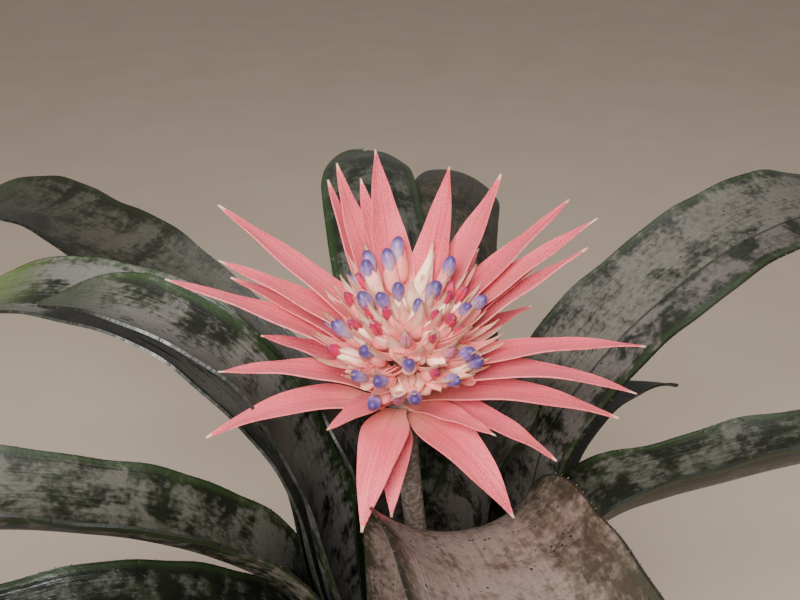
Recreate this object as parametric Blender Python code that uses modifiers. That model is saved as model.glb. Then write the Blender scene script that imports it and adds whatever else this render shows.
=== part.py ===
"""Urn-plant bromeliad in a plain plastic pot, as separate closed solids in metres, +Z up.

The origin is the middle of the pot's underside. Leaves are long straps whose sheaths nest in one
another round the flower stem and form a water-holding vase; the stem carries a head of pointed pink
bracts with short flower clusters above them.
"""

import math
from collections import namedtuple

import bpy
from mathutils import Matrix, Vector

# Pot and potting mix
POT_HEIGHT = 0.128
POT_RIM_RADIUS = 0.080
POT_FOOT_RADIUS = 0.058
POT_WALL = 0.0025
POT_FLOOR = 0.003
RIM_BAND = 0.022
RIM_STEP = 0.003
DRAIN_HOLES = 6
DRAIN_HOLE_RADIUS = 0.005
DRAIN_CIRCLE = 0.040
MIX_BELOW_RIM = 0.014
MIX_CROWN = 0.004
GAP = 0.0004
POT_ROUND = 0.001
POT_INNER_CORNER = 0.0025
BAND_TAPER = 0.0008
MIX_SIDE_GAP = 0.0012
MIX_FOOT_GAP = 0.0035
MIX_FOOT_BEVEL = 0.006
MIX_CROWN_RINGS = ((0.030, 0.0006), (0.056, 0.0028))
POT_SIDES = 48
MIX_SIDES = 32
HOLE_SIDES = 16

# Flower stem and head
STEM_DEPTH = 0.030
STEM_FOOT_RADIUS = 0.009
STEM_RADIUS = 0.0052
STEM_COLLAR = 0.004
STEM_NECK = 0.022
STEM_WAIST = 0.080
STEM_LEAN_DROP = 0.060
STEM_LEAN_SHARE = 0.6
HEAD_BASE = Vector((-0.014, -0.004, 0.342))
HEAD_TOP = Vector((-0.008, -0.006, 0.404))
HEAD_BASE_RADIUS = 0.0060
HEAD_TOP_RADIUS = 0.0030

# Leaves
MIX_TOP = POT_HEIGHT - MIX_BELOW_RIM + MIX_CROWN
LEAF_FOOT = MIX_TOP + 0.0010
INNER_SHEATH_RADIUS = 0.0125
SHEATH_STEP = 0.0024
LEAF_THICKNESS = 0.0014
SHEATH_WRAP = 1.25
SHEATH_WIDTH = 0.084
WIDEST_SHEATH_RADIUS = 0.075
BLADE_CHANNEL = 0.050
SHEATH_FOOT_TILT = 80.0
SHEATH_TOP_TILT = 89.0
SHEATH_FLARE = 0.9
LEAF_ROWS = 20
LEAF_COLUMNS = 6
LEAF_TIP_WIDTH = 0.003
LEAF_SPINE_STEPS = 60
BLADE_WIDTH_FROM = 0.75
BLADE_WIDTH_OVER = 0.25
TIP_ZONE = 0.95
TIP_ROUNDNESS = 2.2
OPENS_FROM = 0.9
OPENS_OVER = 1.6
SWAY_POWER = 1.3
ROLL_HASTE = 1.4

# Bracts
BRACT_THICKNESS = 0.0008
BRACT_ROWS = 8
BRACT_COLUMNS = 2
BRACT_CHANNEL = 0.030
BRACT_BASE_WIDTH = 0.005
BRACT_TIP_WIDTH = 0.0008
BRACT_SPINE_STEPS = 24
BRACT_SWELL_END = 0.36
BRACT_TAPER_FROM = 0.25
BRACT_TAPER_POWER = 0.9

# Flower clusters
CLUSTER_SEGMENTS = 10
CLUSTER_RINGS = 8
CLUSTER_STANDOFF = 0.002
CLUSTER_FOOT_SWELL = 0.75
CLUSTER_TIP_SWELL = 1.25

Leaf = namedtuple("Leaf", "name azimuth layer rise bend out_tilt tip_tilt length width sway roll")
Bract = namedtuple("Bract", "azimuth height start_tilt end_tilt length width")
Cluster = namedtuple("Cluster", "azimuth height tilt length girth")

# azimuth: degrees from +X towards +Y; layer: 0 is the innermost sheath; rise: sheath height; bend: length
# of the turn outwards; out_tilt and tip_tilt: degrees above the horizon after the turn and at the tip;
# sway: sideways turn along the blade and roll: twist of the blade, in degrees.
LEAVES = (
    Leaf("leaf_inner_right", 30, 0, 0.150, 0.050, 42, 30, 0.215, 0.040, 0, 0),
    Leaf("leaf_inner_left", 165, 1, 0.150, 0.060, 60, 45, 0.220, 0.045, 0, 0),
    Leaf("leaf_back", 107, 2, 0.160, 0.060, 58, -20, 0.385, 0.057, -15, 0),
    Leaf("leaf_back_right", 82, 4, 0.160, 0.060, 50, -25, 0.378, 0.058, 0, 20),
    Leaf("leaf_right_high", 27, 5, 0.154, 0.060, 48, -17, 0.430, 0.058, 0, 10),
    Leaf("leaf_left_high", 177, 6, 0.154, 0.060, 61, -11, 0.332, 0.056, -10, 10),
    Leaf("leaf_front", 283, 3, 0.154, 0.070, 14, -15, 0.380, 0.086, 0, 0),
    Leaf("leaf_left_curl", 168, 7, 0.149, 0.060, 52, -34, 0.385, 0.062, 0, 0),
    Leaf("leaf_left_far", 149, 8, 0.139, 0.060, 40, -10, 0.440, 0.062, 0, 0),
    Leaf("leaf_right_low", 352, 9, 0.130, 0.060, 28, 6, 0.450, 0.056, 0, -20),
    Leaf("leaf_right_short", 40, 11, 0.121, 0.060, 21, -26, 0.253, 0.050, -22, -6),
    Leaf("leaf_left_low", 200, 10, 0.100, 0.060, 46, -30, 0.430, 0.064, 0, 0),
    Leaf("leaf_front_left", 204, 13, 0.067, 0.060, 38, -55, 0.390, 0.062, 0, 0),
    Leaf("leaf_back_low_left", 118, 12, 0.080, 0.060, 0, -25, 0.320, 0.062, 0, 0),
    Leaf("leaf_back_low_right", 60, 14, 0.080, 0.060, 0, -25, 0.290, 0.062, 0, 0),
    Leaf("leaf_front_right", 318, 15, 0.070, 0.060, -5, -30, 0.350, 0.066, 0, 0),
)

# height: share of the way up the head; the tilts are degrees above the horizon.
BRACTS = (
    Bract(267, -0.14, 0, -40, 0.047, 0.016),
    Bract(310, -0.10, 12, -42, 0.067, 0.025),
    Bract(199, -0.06, 25, -26, 0.079, 0.021),
    Bract(344, 0.00, 22, -16, 0.087, 0.021),
    Bract(257, -0.05, 10, -46, 0.062, 0.022),
    Bract(333, -0.06, 18, -32, 0.067, 0.019),
    Bract(190, 0.05, 30, -4, 0.073, 0.020),
    Bract(347, 0.07, 30, -18, 0.094, 0.021),
    Bract(236, 0.05, 20, 4, 0.045, 0.015),
    Bract(316, -0.02, 16, 0, 0.046, 0.015),
    Bract(95, 0.06, 30, 10, 0.075, 0.020),
    Bract(351, 0.13, 32, -2, 0.097, 0.018),
    Bract(178, 0.13, 30, 12, 0.057, 0.018),
    Bract(60, 0.14, 35, 15, 0.075, 0.020),
    Bract(128, 0.14, 35, 15, 0.068, 0.020),
    Bract(183, 0.20, 35, 20, 0.100, 0.022),
    Bract(15, 0.19, 35, 15, 0.057, 0.015),
    Bract(172, 0.26, 36, 20, 0.076, 0.019),
    Bract(3, 0.25, 42, 34, 0.086, 0.018),
    Bract(176, 0.32, 40, 22, 0.082, 0.019),
    Bract(11, 0.31, 42, 36, 0.083, 0.018),
    Bract(144, 0.44, 54, 70, 0.072, 0.018),
    Bract(5, 0.37, 44, 34, 0.091, 0.019),
    Bract(168, 0.38, 42, 36, 0.093, 0.021),
    Bract(138, 0.50, 55, 72, 0.074, 0.019),
    Bract(14, 0.43, 44, 42, 0.085, 0.020),
    Bract(128, 0.56, 58, 72, 0.062, 0.017),
    Bract(57, 0.56, 60, 76, 0.066, 0.020),
    Bract(30, 0.49, 54, 64, 0.074, 0.023),
    Bract(117, 0.62, 60, 78, 0.069, 0.020),
)

CLUSTERS = (
    Cluster(222, 0.28, 20, 0.034, 0.0115),
    Cluster(253, 0.20, 14, 0.034, 0.0115),
    Cluster(286, 0.20, 14, 0.034, 0.0115),
    Cluster(317, 0.28, 20, 0.034, 0.0115),
    Cluster(200, 0.58, 42, 0.032, 0.0115),
    Cluster(246, 0.52, 42, 0.032, 0.0120),
    Cluster(292, 0.54, 42, 0.032, 0.0120),
    Cluster(335, 0.60, 46, 0.032, 0.0125),
    Cluster(90, 0.86, 58, 0.026, 0.0100),
    Cluster(270, 1.00, 84, 0.026, 0.0150),
)

COLOURS = {
    "leaf": ((0.24, 0.28, 0.24), 0.6),
    "bract": ((0.86, 0.38, 0.42), 0.55),
    "cluster": ((0.90, 0.66, 0.60), 0.6),
    "stem": ((0.80, 0.62, 0.55), 0.6),
    "pot": ((0.42, 0.19, 0.11), 0.6),
    "mix": ((0.08, 0.05, 0.03), 0.95),
}


def clear_scene():
    for obj in list(bpy.data.objects):
        bpy.data.objects.remove(obj)


def ease(value):
    """A smooth step from 0 to 1."""
    value = min(1.0, max(0.0, value))
    return value * value * (3 - 2 * value)


def mix(a, b, share):
    return a + (b - a) * share


def surface_material(name):
    colour, roughness = COLOURS[name]
    made = bpy.data.materials.new(name)
    made.use_nodes = True
    shader = made.node_tree.nodes["Principled BSDF"]
    shader.inputs["Base Color"].default_value = (*colour, 1)
    shader.inputs["Roughness"].default_value = roughness
    return made


def own(obj, name, collection, material):
    """Names an object, moves it to the plant's collection and gives it its material."""
    obj.name = name
    obj.data.name = name
    for held in obj.users_collection:
        held.objects.unlink(obj)
    collection.objects.link(obj)
    obj.data.materials.clear()
    obj.data.materials.append(material)
    return obj


def sheet_grid(columns, rows):
    """A flat grid one unit across, whose x and y are the place across and along a leaf."""
    bpy.ops.mesh.primitive_grid_add(x_subdivisions=columns, y_subdivisions=rows, size=1)
    return bpy.context.object


def thicken(obj, thickness):
    shell = obj.modifiers.new("thickness", "SOLIDIFY")
    shell.thickness = thickness
    shell.offset = 0
    obj.data.shade_smooth()


def turned(name, profile, steps, collection, material):
    """A solid of revolution: a closed profile of (radius, height) points, outer side first, top to bottom."""
    mesh = bpy.data.meshes.new(name)
    edges = [(i, i + 1) for i in range(len(profile) - 1)]
    mesh.from_pydata([(radius, 0, height) for radius, height in profile], edges, [])
    obj = bpy.data.objects.new(name, mesh)
    collection.objects.link(obj)
    obj.data.materials.append(material)
    spin = obj.modifiers.new("turn", "SCREW")
    spin.steps = spin.render_steps = steps
    spin.use_merge_vertices = True
    spin.merge_threshold = 0.0001
    spin.use_smooth_shade = True
    return obj


def pot_profile():
    """The pot's section: inside floor and wall, rounded rim, rim band, tapered outer wall and flat foot."""
    under_band = POT_RIM_RADIUS - RIM_STEP - POT_ROUND
    band_low = POT_HEIGHT - RIM_BAND
    inner_rim = POT_RIM_RADIUS - RIM_STEP - POT_WALL
    inner_foot = POT_FOOT_RADIUS - POT_WALL
    return [
        (0, POT_FLOOR),
        (inner_foot - POT_INNER_CORNER, POT_FLOOR),
        (inner_foot, POT_FLOOR + POT_INNER_CORNER),
        (inner_rim, POT_HEIGHT - POT_ROUND),
        (inner_rim + POT_ROUND, POT_HEIGHT),
        (POT_RIM_RADIUS - POT_ROUND, POT_HEIGHT),
        (POT_RIM_RADIUS, POT_HEIGHT - POT_ROUND),
        (POT_RIM_RADIUS - BAND_TAPER, band_low + POT_ROUND),
        (POT_RIM_RADIUS - 2 * BAND_TAPER, band_low),
        (under_band, band_low),
        (POT_FOOT_RADIUS + POT_ROUND / 2, POT_ROUND),
        (POT_FOOT_RADIUS, 0),
        (0, 0),
    ]


def make_pot(collection, cutters, material):
    pot = turned("pot", pot_profile(), POT_SIDES, collection, material)
    for index in range(DRAIN_HOLES):
        angle = math.tau * index / DRAIN_HOLES
        bpy.ops.mesh.primitive_cylinder_add(
            vertices=HOLE_SIDES,
            radius=DRAIN_HOLE_RADIUS,
            depth=4 * POT_FLOOR,
            location=(DRAIN_CIRCLE * math.cos(angle), DRAIN_CIRCLE * math.sin(angle), 0),
        )
        cutter = own(bpy.context.object, f"drain_cutter_{index}", cutters, material)
        cutter.hide_render = True
        cutter.display_type = "WIRE"
        cut = pot.modifiers.new(f"drain_{index}", "BOOLEAN")
        cut.operation = "DIFFERENCE"
        cut.object = cutter
    return pot


def inner_radius(height):
    """The pot's inside radius at a height."""
    low = POT_FOOT_RADIUS - POT_WALL
    high = POT_RIM_RADIUS - RIM_STEP - POT_WALL
    share = (height - POT_FLOOR) / (POT_HEIGHT - POT_FLOOR)
    return mix(low, high, share)


def make_mix(collection, material):
    """The potting mix: a plug that fills the pot, with a well in the middle for the stem's foot."""
    edge = MIX_TOP - MIX_CROWN
    floor = POT_FLOOR + GAP
    foot = POT_FOOT_RADIUS - POT_WALL - MIX_FOOT_GAP
    bevel = floor + MIX_FOOT_BEVEL
    well = STEM_FOOT_RADIUS + GAP
    well_floor = MIX_TOP - STEM_DEPTH - GAP
    profile = [
        (0, well_floor),
        (well, well_floor),
        (well, MIX_TOP),
        *((radius, MIX_TOP - drop) for radius, drop in MIX_CROWN_RINGS),
        (inner_radius(edge) - MIX_SIDE_GAP, edge),
        (inner_radius(bevel) - MIX_SIDE_GAP, bevel),
        (foot, floor),
        (0, floor),
    ]
    return turned("potting_mix", profile, MIX_SIDES, collection, material)


def make_stem(collection, material):
    """The flower stem and the head's axis, grown as one piece from the foot in the mix to the tip."""
    lean_height = HEAD_BASE.z - STEM_LEAN_DROP
    stations = (
        (Vector((0, 0, MIX_TOP - STEM_DEPTH)), STEM_FOOT_RADIUS),
        (Vector((0, 0, MIX_TOP + STEM_COLLAR)), STEM_FOOT_RADIUS),
        (Vector((0, 0, MIX_TOP + STEM_NECK)), HEAD_BASE_RADIUS),
        (Vector((0, 0, MIX_TOP + STEM_WAIST)), STEM_RADIUS),
        (Vector((HEAD_BASE.x * STEM_LEAN_SHARE, HEAD_BASE.y * STEM_LEAN_SHARE, lean_height)), STEM_RADIUS),
        (HEAD_BASE, HEAD_BASE_RADIUS),
        (HEAD_TOP, HEAD_TOP_RADIUS),
    )
    curve = bpy.data.curves.new("flower_stem", "CURVE")
    curve.dimensions = "3D"
    curve.bevel_depth = 1.0
    curve.bevel_resolution = 3
    curve.use_fill_caps = True
    line = curve.splines.new("POLY")
    line.points.add(len(stations) - 1)
    for point, (place, radius) in zip(line.points, stations):
        point.co = (*place, 1)
        point.radius = radius
    obj = bpy.data.objects.new("flower_stem", curve)
    collection.objects.link(obj)
    curve.materials.append(material)
    return obj


def straight(share):
    """No turn or roll anywhere along a spine."""
    return 0.0


class Spine:
    """The middle line of a leaf or bract, with its sideways and inward directions at each place."""

    def __init__(self, start, azimuth, length, steps, tilt_at, turn_at=straight, roll_at=straight):
        self.frames = []
        place = start.copy()
        step = length / steps
        for index in range(steps + 1):
            share = index / steps
            heading = math.radians(azimuth + turn_at(share))
            tilt = math.radians(tilt_at(share))
            level = Vector((math.cos(heading), math.sin(heading), 0))
            along = level * math.cos(tilt) + Vector((0, 0, math.sin(tilt)))
            side = Vector((-math.sin(heading), math.cos(heading), 0))
            twist = Matrix.Rotation(math.radians(roll_at(share)), 3, along)
            side = twist @ side
            self.frames.append((place.copy(), side, along.cross(side)))
            place += along * step

    def at(self, share):
        spot = min(len(self.frames) - 1, max(0, share * (len(self.frames) - 1)))
        low = min(int(spot), len(self.frames) - 2)
        rest = spot - low
        return [mix(a, b, rest) for a, b in zip(self.frames[low], self.frames[low + 1])]


def on_arc(frame, across, curvature):
    """The point at a distance across a channelled sheet, which curves inwards like a gutter."""
    place, side, inward = frame
    angle = across * curvature
    return place + (side * math.sin(angle) + inward * (1 - math.cos(angle))) / curvature


def leaf_spine(leaf):
    radius = INNER_SHEATH_RADIUS + leaf.layer * SHEATH_STEP
    azimuth = math.radians(leaf.azimuth)
    start = Vector((radius * math.cos(azimuth), radius * math.sin(azimuth), LEAF_FOOT))
    rise = leaf.rise / leaf.length
    bend = leaf.bend / leaf.length

    def tilt_at(share):
        sheath = mix(SHEATH_FOOT_TILT, SHEATH_TOP_TILT, ease(share / rise)) - leaf.layer * SHEATH_FLARE
        blade = mix(leaf.out_tilt, leaf.tip_tilt, max(0.0, (share - rise - bend) / (1 - rise - bend)))
        return mix(sheath, blade, ease((share - rise) / bend))

    def beyond(share):
        return max(0.0, (share - rise) / (1 - rise))

    def turn_at(share):
        return leaf.sway * beyond(share) ** SWAY_POWER

    def roll_at(share):
        return leaf.roll * ease(beyond(share) * ROLL_HASTE)

    return Spine(start, leaf.azimuth, leaf.length, LEAF_SPINE_STEPS, tilt_at, turn_at, roll_at)


def leaf_half_width(leaf, share, radius):
    """Half the width of a leaf: a broad sheath held to its wrap, an even blade and a rounded tip."""
    rise = leaf.rise / leaf.length
    sheath = min(SHEATH_WIDTH / 2, SHEATH_WRAP * radius)
    width = mix(sheath, leaf.width / 2, ease((share - rise * BLADE_WIDTH_FROM) / BLADE_WIDTH_OVER))
    from_tip = (1 - share) * leaf.length
    tip_zone = leaf.width * TIP_ZONE
    if from_tip < tip_zone:
        closing = 1 - from_tip / tip_zone
        width *= math.sqrt(max(0.0, 1 - closing**TIP_ROUNDNESS))
    return max(width, LEAF_TIP_WIDTH / 2)


def make_leaf(leaf, collection, material):
    obj = own(sheet_grid(LEAF_COLUMNS, LEAF_ROWS), leaf.name, collection, material)
    spine = leaf_spine(leaf)
    rise = leaf.rise / leaf.length
    bend = leaf.bend / leaf.length
    for vertex in obj.data.vertices:
        across, share = vertex.co.x * 2, vertex.co.y + 0.5
        place, side, inward = spine.at(share)
        radius = math.hypot(place.x, place.y)
        opening = ease((share - rise * OPENS_FROM) / (bend * OPENS_OVER))
        level_inward = Vector((-place.x, -place.y, 0)) / radius
        radius = min(radius, WIDEST_SHEATH_RADIUS)
        curvature = mix(1 / radius, 1 / BLADE_CHANNEL, opening)
        half = leaf_half_width(leaf, share, radius)
        frame = (place, side, mix(level_inward, inward, opening).normalized())
        vertex.co = on_arc(frame, across * half, curvature)
    thicken(obj, LEAF_THICKNESS)
    return obj


def head_place(height):
    return mix(HEAD_BASE, HEAD_TOP, height), mix(HEAD_BASE_RADIUS, HEAD_TOP_RADIUS, height)


def bract_half_width(bract, share):
    """Half the width of a bract: it swells from a narrow base and tapers to a needle point."""
    swell = mix(BRACT_BASE_WIDTH / bract.width, 1.0, ease(share / BRACT_SWELL_END))
    taper = 1 - ease((share - BRACT_TAPER_FROM) / (1 - BRACT_TAPER_FROM)) ** BRACT_TAPER_POWER
    return max(BRACT_TIP_WIDTH / 2, bract.width / 2 * swell * taper)


def make_bract(index, bract, collection, material):
    name = f"bract_{index + 1:02d}"
    obj = own(sheet_grid(BRACT_COLUMNS, BRACT_ROWS), name, collection, material)
    centre, radius = head_place(bract.height)
    azimuth = math.radians(bract.azimuth)
    outwards = Vector((math.cos(azimuth), math.sin(azimuth), 0))
    start = centre + outwards * (radius + BRACT_THICKNESS + GAP)

    def tilt_at(share):
        return mix(bract.start_tilt, bract.end_tilt, share)

    spine = Spine(start, bract.azimuth, bract.length, BRACT_SPINE_STEPS, tilt_at)
    for vertex in obj.data.vertices:
        across, share = vertex.co.x * 2, vertex.co.y + 0.5
        half = bract_half_width(bract, share)
        vertex.co = on_arc(spine.at(share), across * half, 1 / BRACT_CHANNEL)
    thicken(obj, BRACT_THICKNESS)
    return obj


def make_cluster(index, cluster, collection, material):
    """A short side branch packed with flowers, as one plump bud that narrows to its stalk and its tip."""
    centre, radius = head_place(cluster.height)
    azimuth, tilt = math.radians(cluster.azimuth), math.radians(cluster.tilt)
    along = Vector((math.cos(azimuth) * math.cos(tilt), math.sin(azimuth) * math.cos(tilt), math.sin(tilt)))
    clear = radius / math.cos(tilt) if cluster.height < 1 else 0.0
    start = centre + along * (clear + CLUSTER_STANDOFF)
    bpy.ops.mesh.primitive_uv_sphere_add(segments=CLUSTER_SEGMENTS, ring_count=CLUSTER_RINGS, radius=0.5)
    name = f"flower_cluster_{index + 1:02d}"
    obj = own(bpy.context.object, name, collection, material)
    aim = along.to_track_quat("Z", "Y").to_matrix()
    for vertex in obj.data.vertices:
        share = vertex.co.z + 0.5
        swell = cluster.girth * mix(CLUSTER_FOOT_SWELL, CLUSTER_TIP_SWELL, share)
        local = Vector((vertex.co.x * swell, vertex.co.y * swell, share * cluster.length))
        vertex.co = start + aim @ local
    obj.data.shade_smooth()
    return obj


def main():
    clear_scene()
    plant = bpy.data.collections.new("potted_bromeliad")
    cutters = bpy.data.collections.new("cutters")
    bpy.context.scene.collection.children.link(plant)
    bpy.context.scene.collection.children.link(cutters)
    materials = {name: surface_material(name) for name in COLOURS}
    make_pot(plant, cutters, materials["pot"])
    make_mix(plant, materials["mix"])
    make_stem(plant, materials["stem"])
    for leaf in LEAVES:
        make_leaf(leaf, plant, materials["leaf"])
    for index, bract in enumerate(BRACTS):
        make_bract(index, bract, plant, materials["bract"])
    for index, cluster in enumerate(CLUSTERS):
        make_cluster(index, cluster, plant, materials["cluster"])


main()
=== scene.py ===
"""Finishes a potted urn plant: leaves, bract head, flowers, stem, potting mix and pot, in a plain studio.

Everything is in metres in the frame's own axes. The origin is the middle of the pot's underside, +Z is up and
-Y is the front.
"""

import logging
import math
import random
from dataclasses import dataclass
from enum import Enum
from typing import Any, Callable, Mapping, Sequence

import bpy
import numpy as np
from mathutils import Matrix, Vector

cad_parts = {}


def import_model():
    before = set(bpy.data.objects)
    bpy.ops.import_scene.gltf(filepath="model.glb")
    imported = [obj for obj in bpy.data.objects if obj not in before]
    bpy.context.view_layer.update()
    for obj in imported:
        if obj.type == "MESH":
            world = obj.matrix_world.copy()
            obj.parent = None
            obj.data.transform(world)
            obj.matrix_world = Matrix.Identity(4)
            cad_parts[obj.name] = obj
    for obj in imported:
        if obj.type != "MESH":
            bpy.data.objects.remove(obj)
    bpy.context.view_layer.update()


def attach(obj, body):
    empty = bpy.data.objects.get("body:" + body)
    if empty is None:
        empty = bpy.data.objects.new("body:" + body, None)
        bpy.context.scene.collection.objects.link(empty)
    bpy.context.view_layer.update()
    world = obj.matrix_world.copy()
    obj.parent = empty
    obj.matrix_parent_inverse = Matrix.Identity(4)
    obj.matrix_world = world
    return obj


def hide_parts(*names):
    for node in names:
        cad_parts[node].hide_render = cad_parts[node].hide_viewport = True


Colour = tuple[float, float, float]
Array = np.ndarray

log = logging.getLogger("potted_bromeliad")

BODY = "root"
GOLDEN_ANGLE = math.radians(137.508)
UP = np.array((0.0, 0.0, 1.0))

# Names of the point attributes that the finishes read.
SPOT = "spot"  # metres across and along a strap, and a number of the piece's own
SHARE = "share"  # -1 to 1 across a strap, 0 to 1 along it, and the same number


# ------------------------------------------------------------------------------------------- small maths


def ease(value: Any) -> Any:
    """A smooth step from 0 to 1."""
    held = np.clip(value, 0.0, 1.0)
    return held * held * (3 - 2 * held)


def mix(low: Any, high: Any, share: Any) -> Any:
    """The value at a share of the way from low to high."""
    return low + (high - low) * share


def unit(vectors: Array) -> Array:
    """The same vectors, one metre long."""
    return vectors / np.linalg.norm(vectors, axis=-1, keepdims=True)


def running_sum(values: Array) -> Array:
    """The running sum along each row, with 0 put in front."""
    return np.concatenate([np.zeros_like(values[:, :1]), np.cumsum(values, axis=1)], axis=1)


# --------------------------------------------------------------------------------------- mesh by operators


def select_only(*objects: bpy.types.Object) -> None:
    """Selects these objects and nothing else, and makes the first one active."""
    bpy.ops.object.select_all(action="DESELECT")
    for obj in objects:
        obj.select_set(True)
    bpy.context.view_layer.objects.active = objects[0]


def apply_modifier(obj: bpy.types.Object, kind: str, **settings: Any) -> None:
    """Adds a modifier and applies it.

    Args:
        obj: the object it shapes.
        kind: the modifier's type.
        settings: its values, by name.
    """
    select_only(obj)
    modifier = obj.modifiers.new(kind.lower(), kind)
    for name, value in settings.items():
        setattr(modifier, name, value)
    bpy.ops.object.modifier_apply(modifier=modifier.name)


def points_of(obj: bpy.types.Object) -> Array:
    """The object's vertex places, one row each."""
    flat = np.empty(len(obj.data.vertices) * 3)
    obj.data.vertices.foreach_get("co", flat)
    return flat.reshape(-1, 3)


def move_points(obj: bpy.types.Object, points: Array) -> None:
    """Puts the object's vertices at these places."""
    obj.data.vertices.foreach_set("co", points.ravel())
    obj.data.update()


def mark_points(obj: bpy.types.Object, name: str, values: Array) -> None:
    """Writes a vector on each vertex, for the finishes to read."""
    layer = obj.data.attributes.get(name) or obj.data.attributes.new(name, "FLOAT_VECTOR", "POINT")
    layer.data.foreach_set("vector", np.ascontiguousarray(values, dtype=np.float32).ravel())


def smooth_faces(obj: bpy.types.Object, angle: float = 40.0) -> None:
    """Shades the object smooth, with edges sharper than the angle kept crisp."""
    select_only(obj)
    bpy.ops.object.shade_smooth_by_angle(angle=math.radians(angle))


def dress(obj: bpy.types.Object, material: bpy.types.Material) -> bpy.types.Object:
    """Gives the object one material."""
    obj.data.materials.clear()
    obj.data.materials.append(material)
    return obj


def joined(name: str, parts: Sequence[bpy.types.Object]) -> bpy.types.Object:
    """Joins parts into one object.

    Args:
        name: the object's name.
        parts: what to join; the first takes in the others.

    Returns:
        The object.
    """
    select_only(*parts)
    bpy.ops.object.join()
    obj = bpy.context.view_layer.objects.active
    obj.name = obj.data.name = name
    return obj


def remove(obj: bpy.types.Object) -> None:
    """Deletes a template that has been copied."""
    mesh = obj.data
    bpy.data.objects.remove(obj)
    bpy.data.meshes.remove(mesh)


def stamp(template: bpy.types.Object, place: Matrix) -> bpy.types.Object:
    """Copies a template with its own mesh, and leaves the copy's origin where it is.

    Args:
        template: the object to copy.
        place: where the copy's mesh goes, and how it is turned and sized.

    Returns:
        The copy.
    """
    copy = template.copy()
    copy.data = template.data.copy()
    copy.data.transform(place)
    bpy.context.scene.collection.objects.link(copy)
    return copy


def strap_sheet(name: str, columns: int, rows: int, points: Array, thickness: float) -> bpy.types.Object:
    """A thin closed sheet from a grid whose corners go to given points.

    Args:
        name: the new object's name.
        columns: faces across the sheet.
        rows: faces along it.
        points: the place of each corner, by row and column.
        thickness: the sheet's thickness in metres.

    Returns:
        The sheet, with its attributes still to be written on its first (rows + 1) * (columns + 1) vertices.
    """
    bpy.ops.mesh.primitive_grid_add(x_subdivisions=columns, y_subdivisions=rows, size=1)
    obj = bpy.context.object
    obj.name = obj.data.name = name
    flat = points_of(obj)
    column = np.rint((flat[:, 0] + 0.5) * columns).astype(int)
    row = np.rint((flat[:, 1] + 0.5) * rows).astype(int)
    move_points(obj, points[row, column])
    mark_points(obj, SHARE, np.stack([flat[:, 0] * 2, flat[:, 1] + 0.5, np.zeros(len(flat))], axis=1))
    apply_modifier(obj, "SOLIDIFY", thickness=thickness, offset=0)
    return obj


def read_mark(obj: bpy.types.Object, name: str) -> Array:
    """The vectors that mark_points wrote."""
    layer = obj.data.attributes[name].data
    flat = np.empty(len(layer) * 3, dtype=np.float32)
    layer.foreach_get("vector", flat)
    return flat.reshape(-1, 3).astype(float)


def mark_strap(
    obj: bpy.types.Object, half_width: Callable[[Array], Array], length: float, tone: float
) -> None:
    """Writes a strap's metres across and along it, and its tone.

    Args:
        obj: a sheet from strap_sheet.
        half_width: the strap's half width at each share of its length.
        length: the strap's length.
        tone: a number from 0 to 1 that tells one strap from the next.
    """
    share = read_mark(obj, SHARE)
    across = share[:, 0] * half_width(share[:, 1])
    tones = np.full(len(share), tone)
    mark_points(obj, SPOT, np.stack([across, share[:, 1] * length, tones], axis=1))
    mark_points(obj, SHARE, np.stack([share[:, 0], share[:, 1], tones], axis=1))


def extrude_rings(name: str, sides: int, rings: Sequence[tuple[Vector, float]]) -> bpy.types.Object:
    """A closed round solid, extruded from ring to ring.

    Args:
        name: the new object's name.
        sides: how many sides its rings have.
        rings: the centre and radius of each ring, in order.

    Returns:
        The solid, with its faces pointing out.
    """
    (centre, radius), *others = rings
    bpy.ops.mesh.primitive_circle_add(vertices=sides, radius=radius, fill_type="NGON", location=centre)
    obj = bpy.context.object
    obj.name = obj.data.name = name
    select_only(obj)
    bpy.ops.object.mode_set(mode="EDIT")
    bpy.ops.mesh.select_all(action="SELECT")
    for next_centre, next_radius in others:
        bpy.ops.mesh.extrude_region_move(TRANSFORM_OT_translate={"value": next_centre - centre})
        growth = next_radius / radius
        bpy.ops.transform.resize(value=(growth, growth, growth), center_override=next_centre)
        centre, radius = next_centre, next_radius
    bpy.ops.mesh.select_all(action="SELECT")
    bpy.ops.mesh.normals_make_consistent(inside=False)
    bpy.ops.object.mode_set(mode="OBJECT")
    bpy.ops.object.transform_apply(location=True, rotation=True, scale=True)
    return obj


# ---------------------------------------------------------------------------------------- shader building


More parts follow.
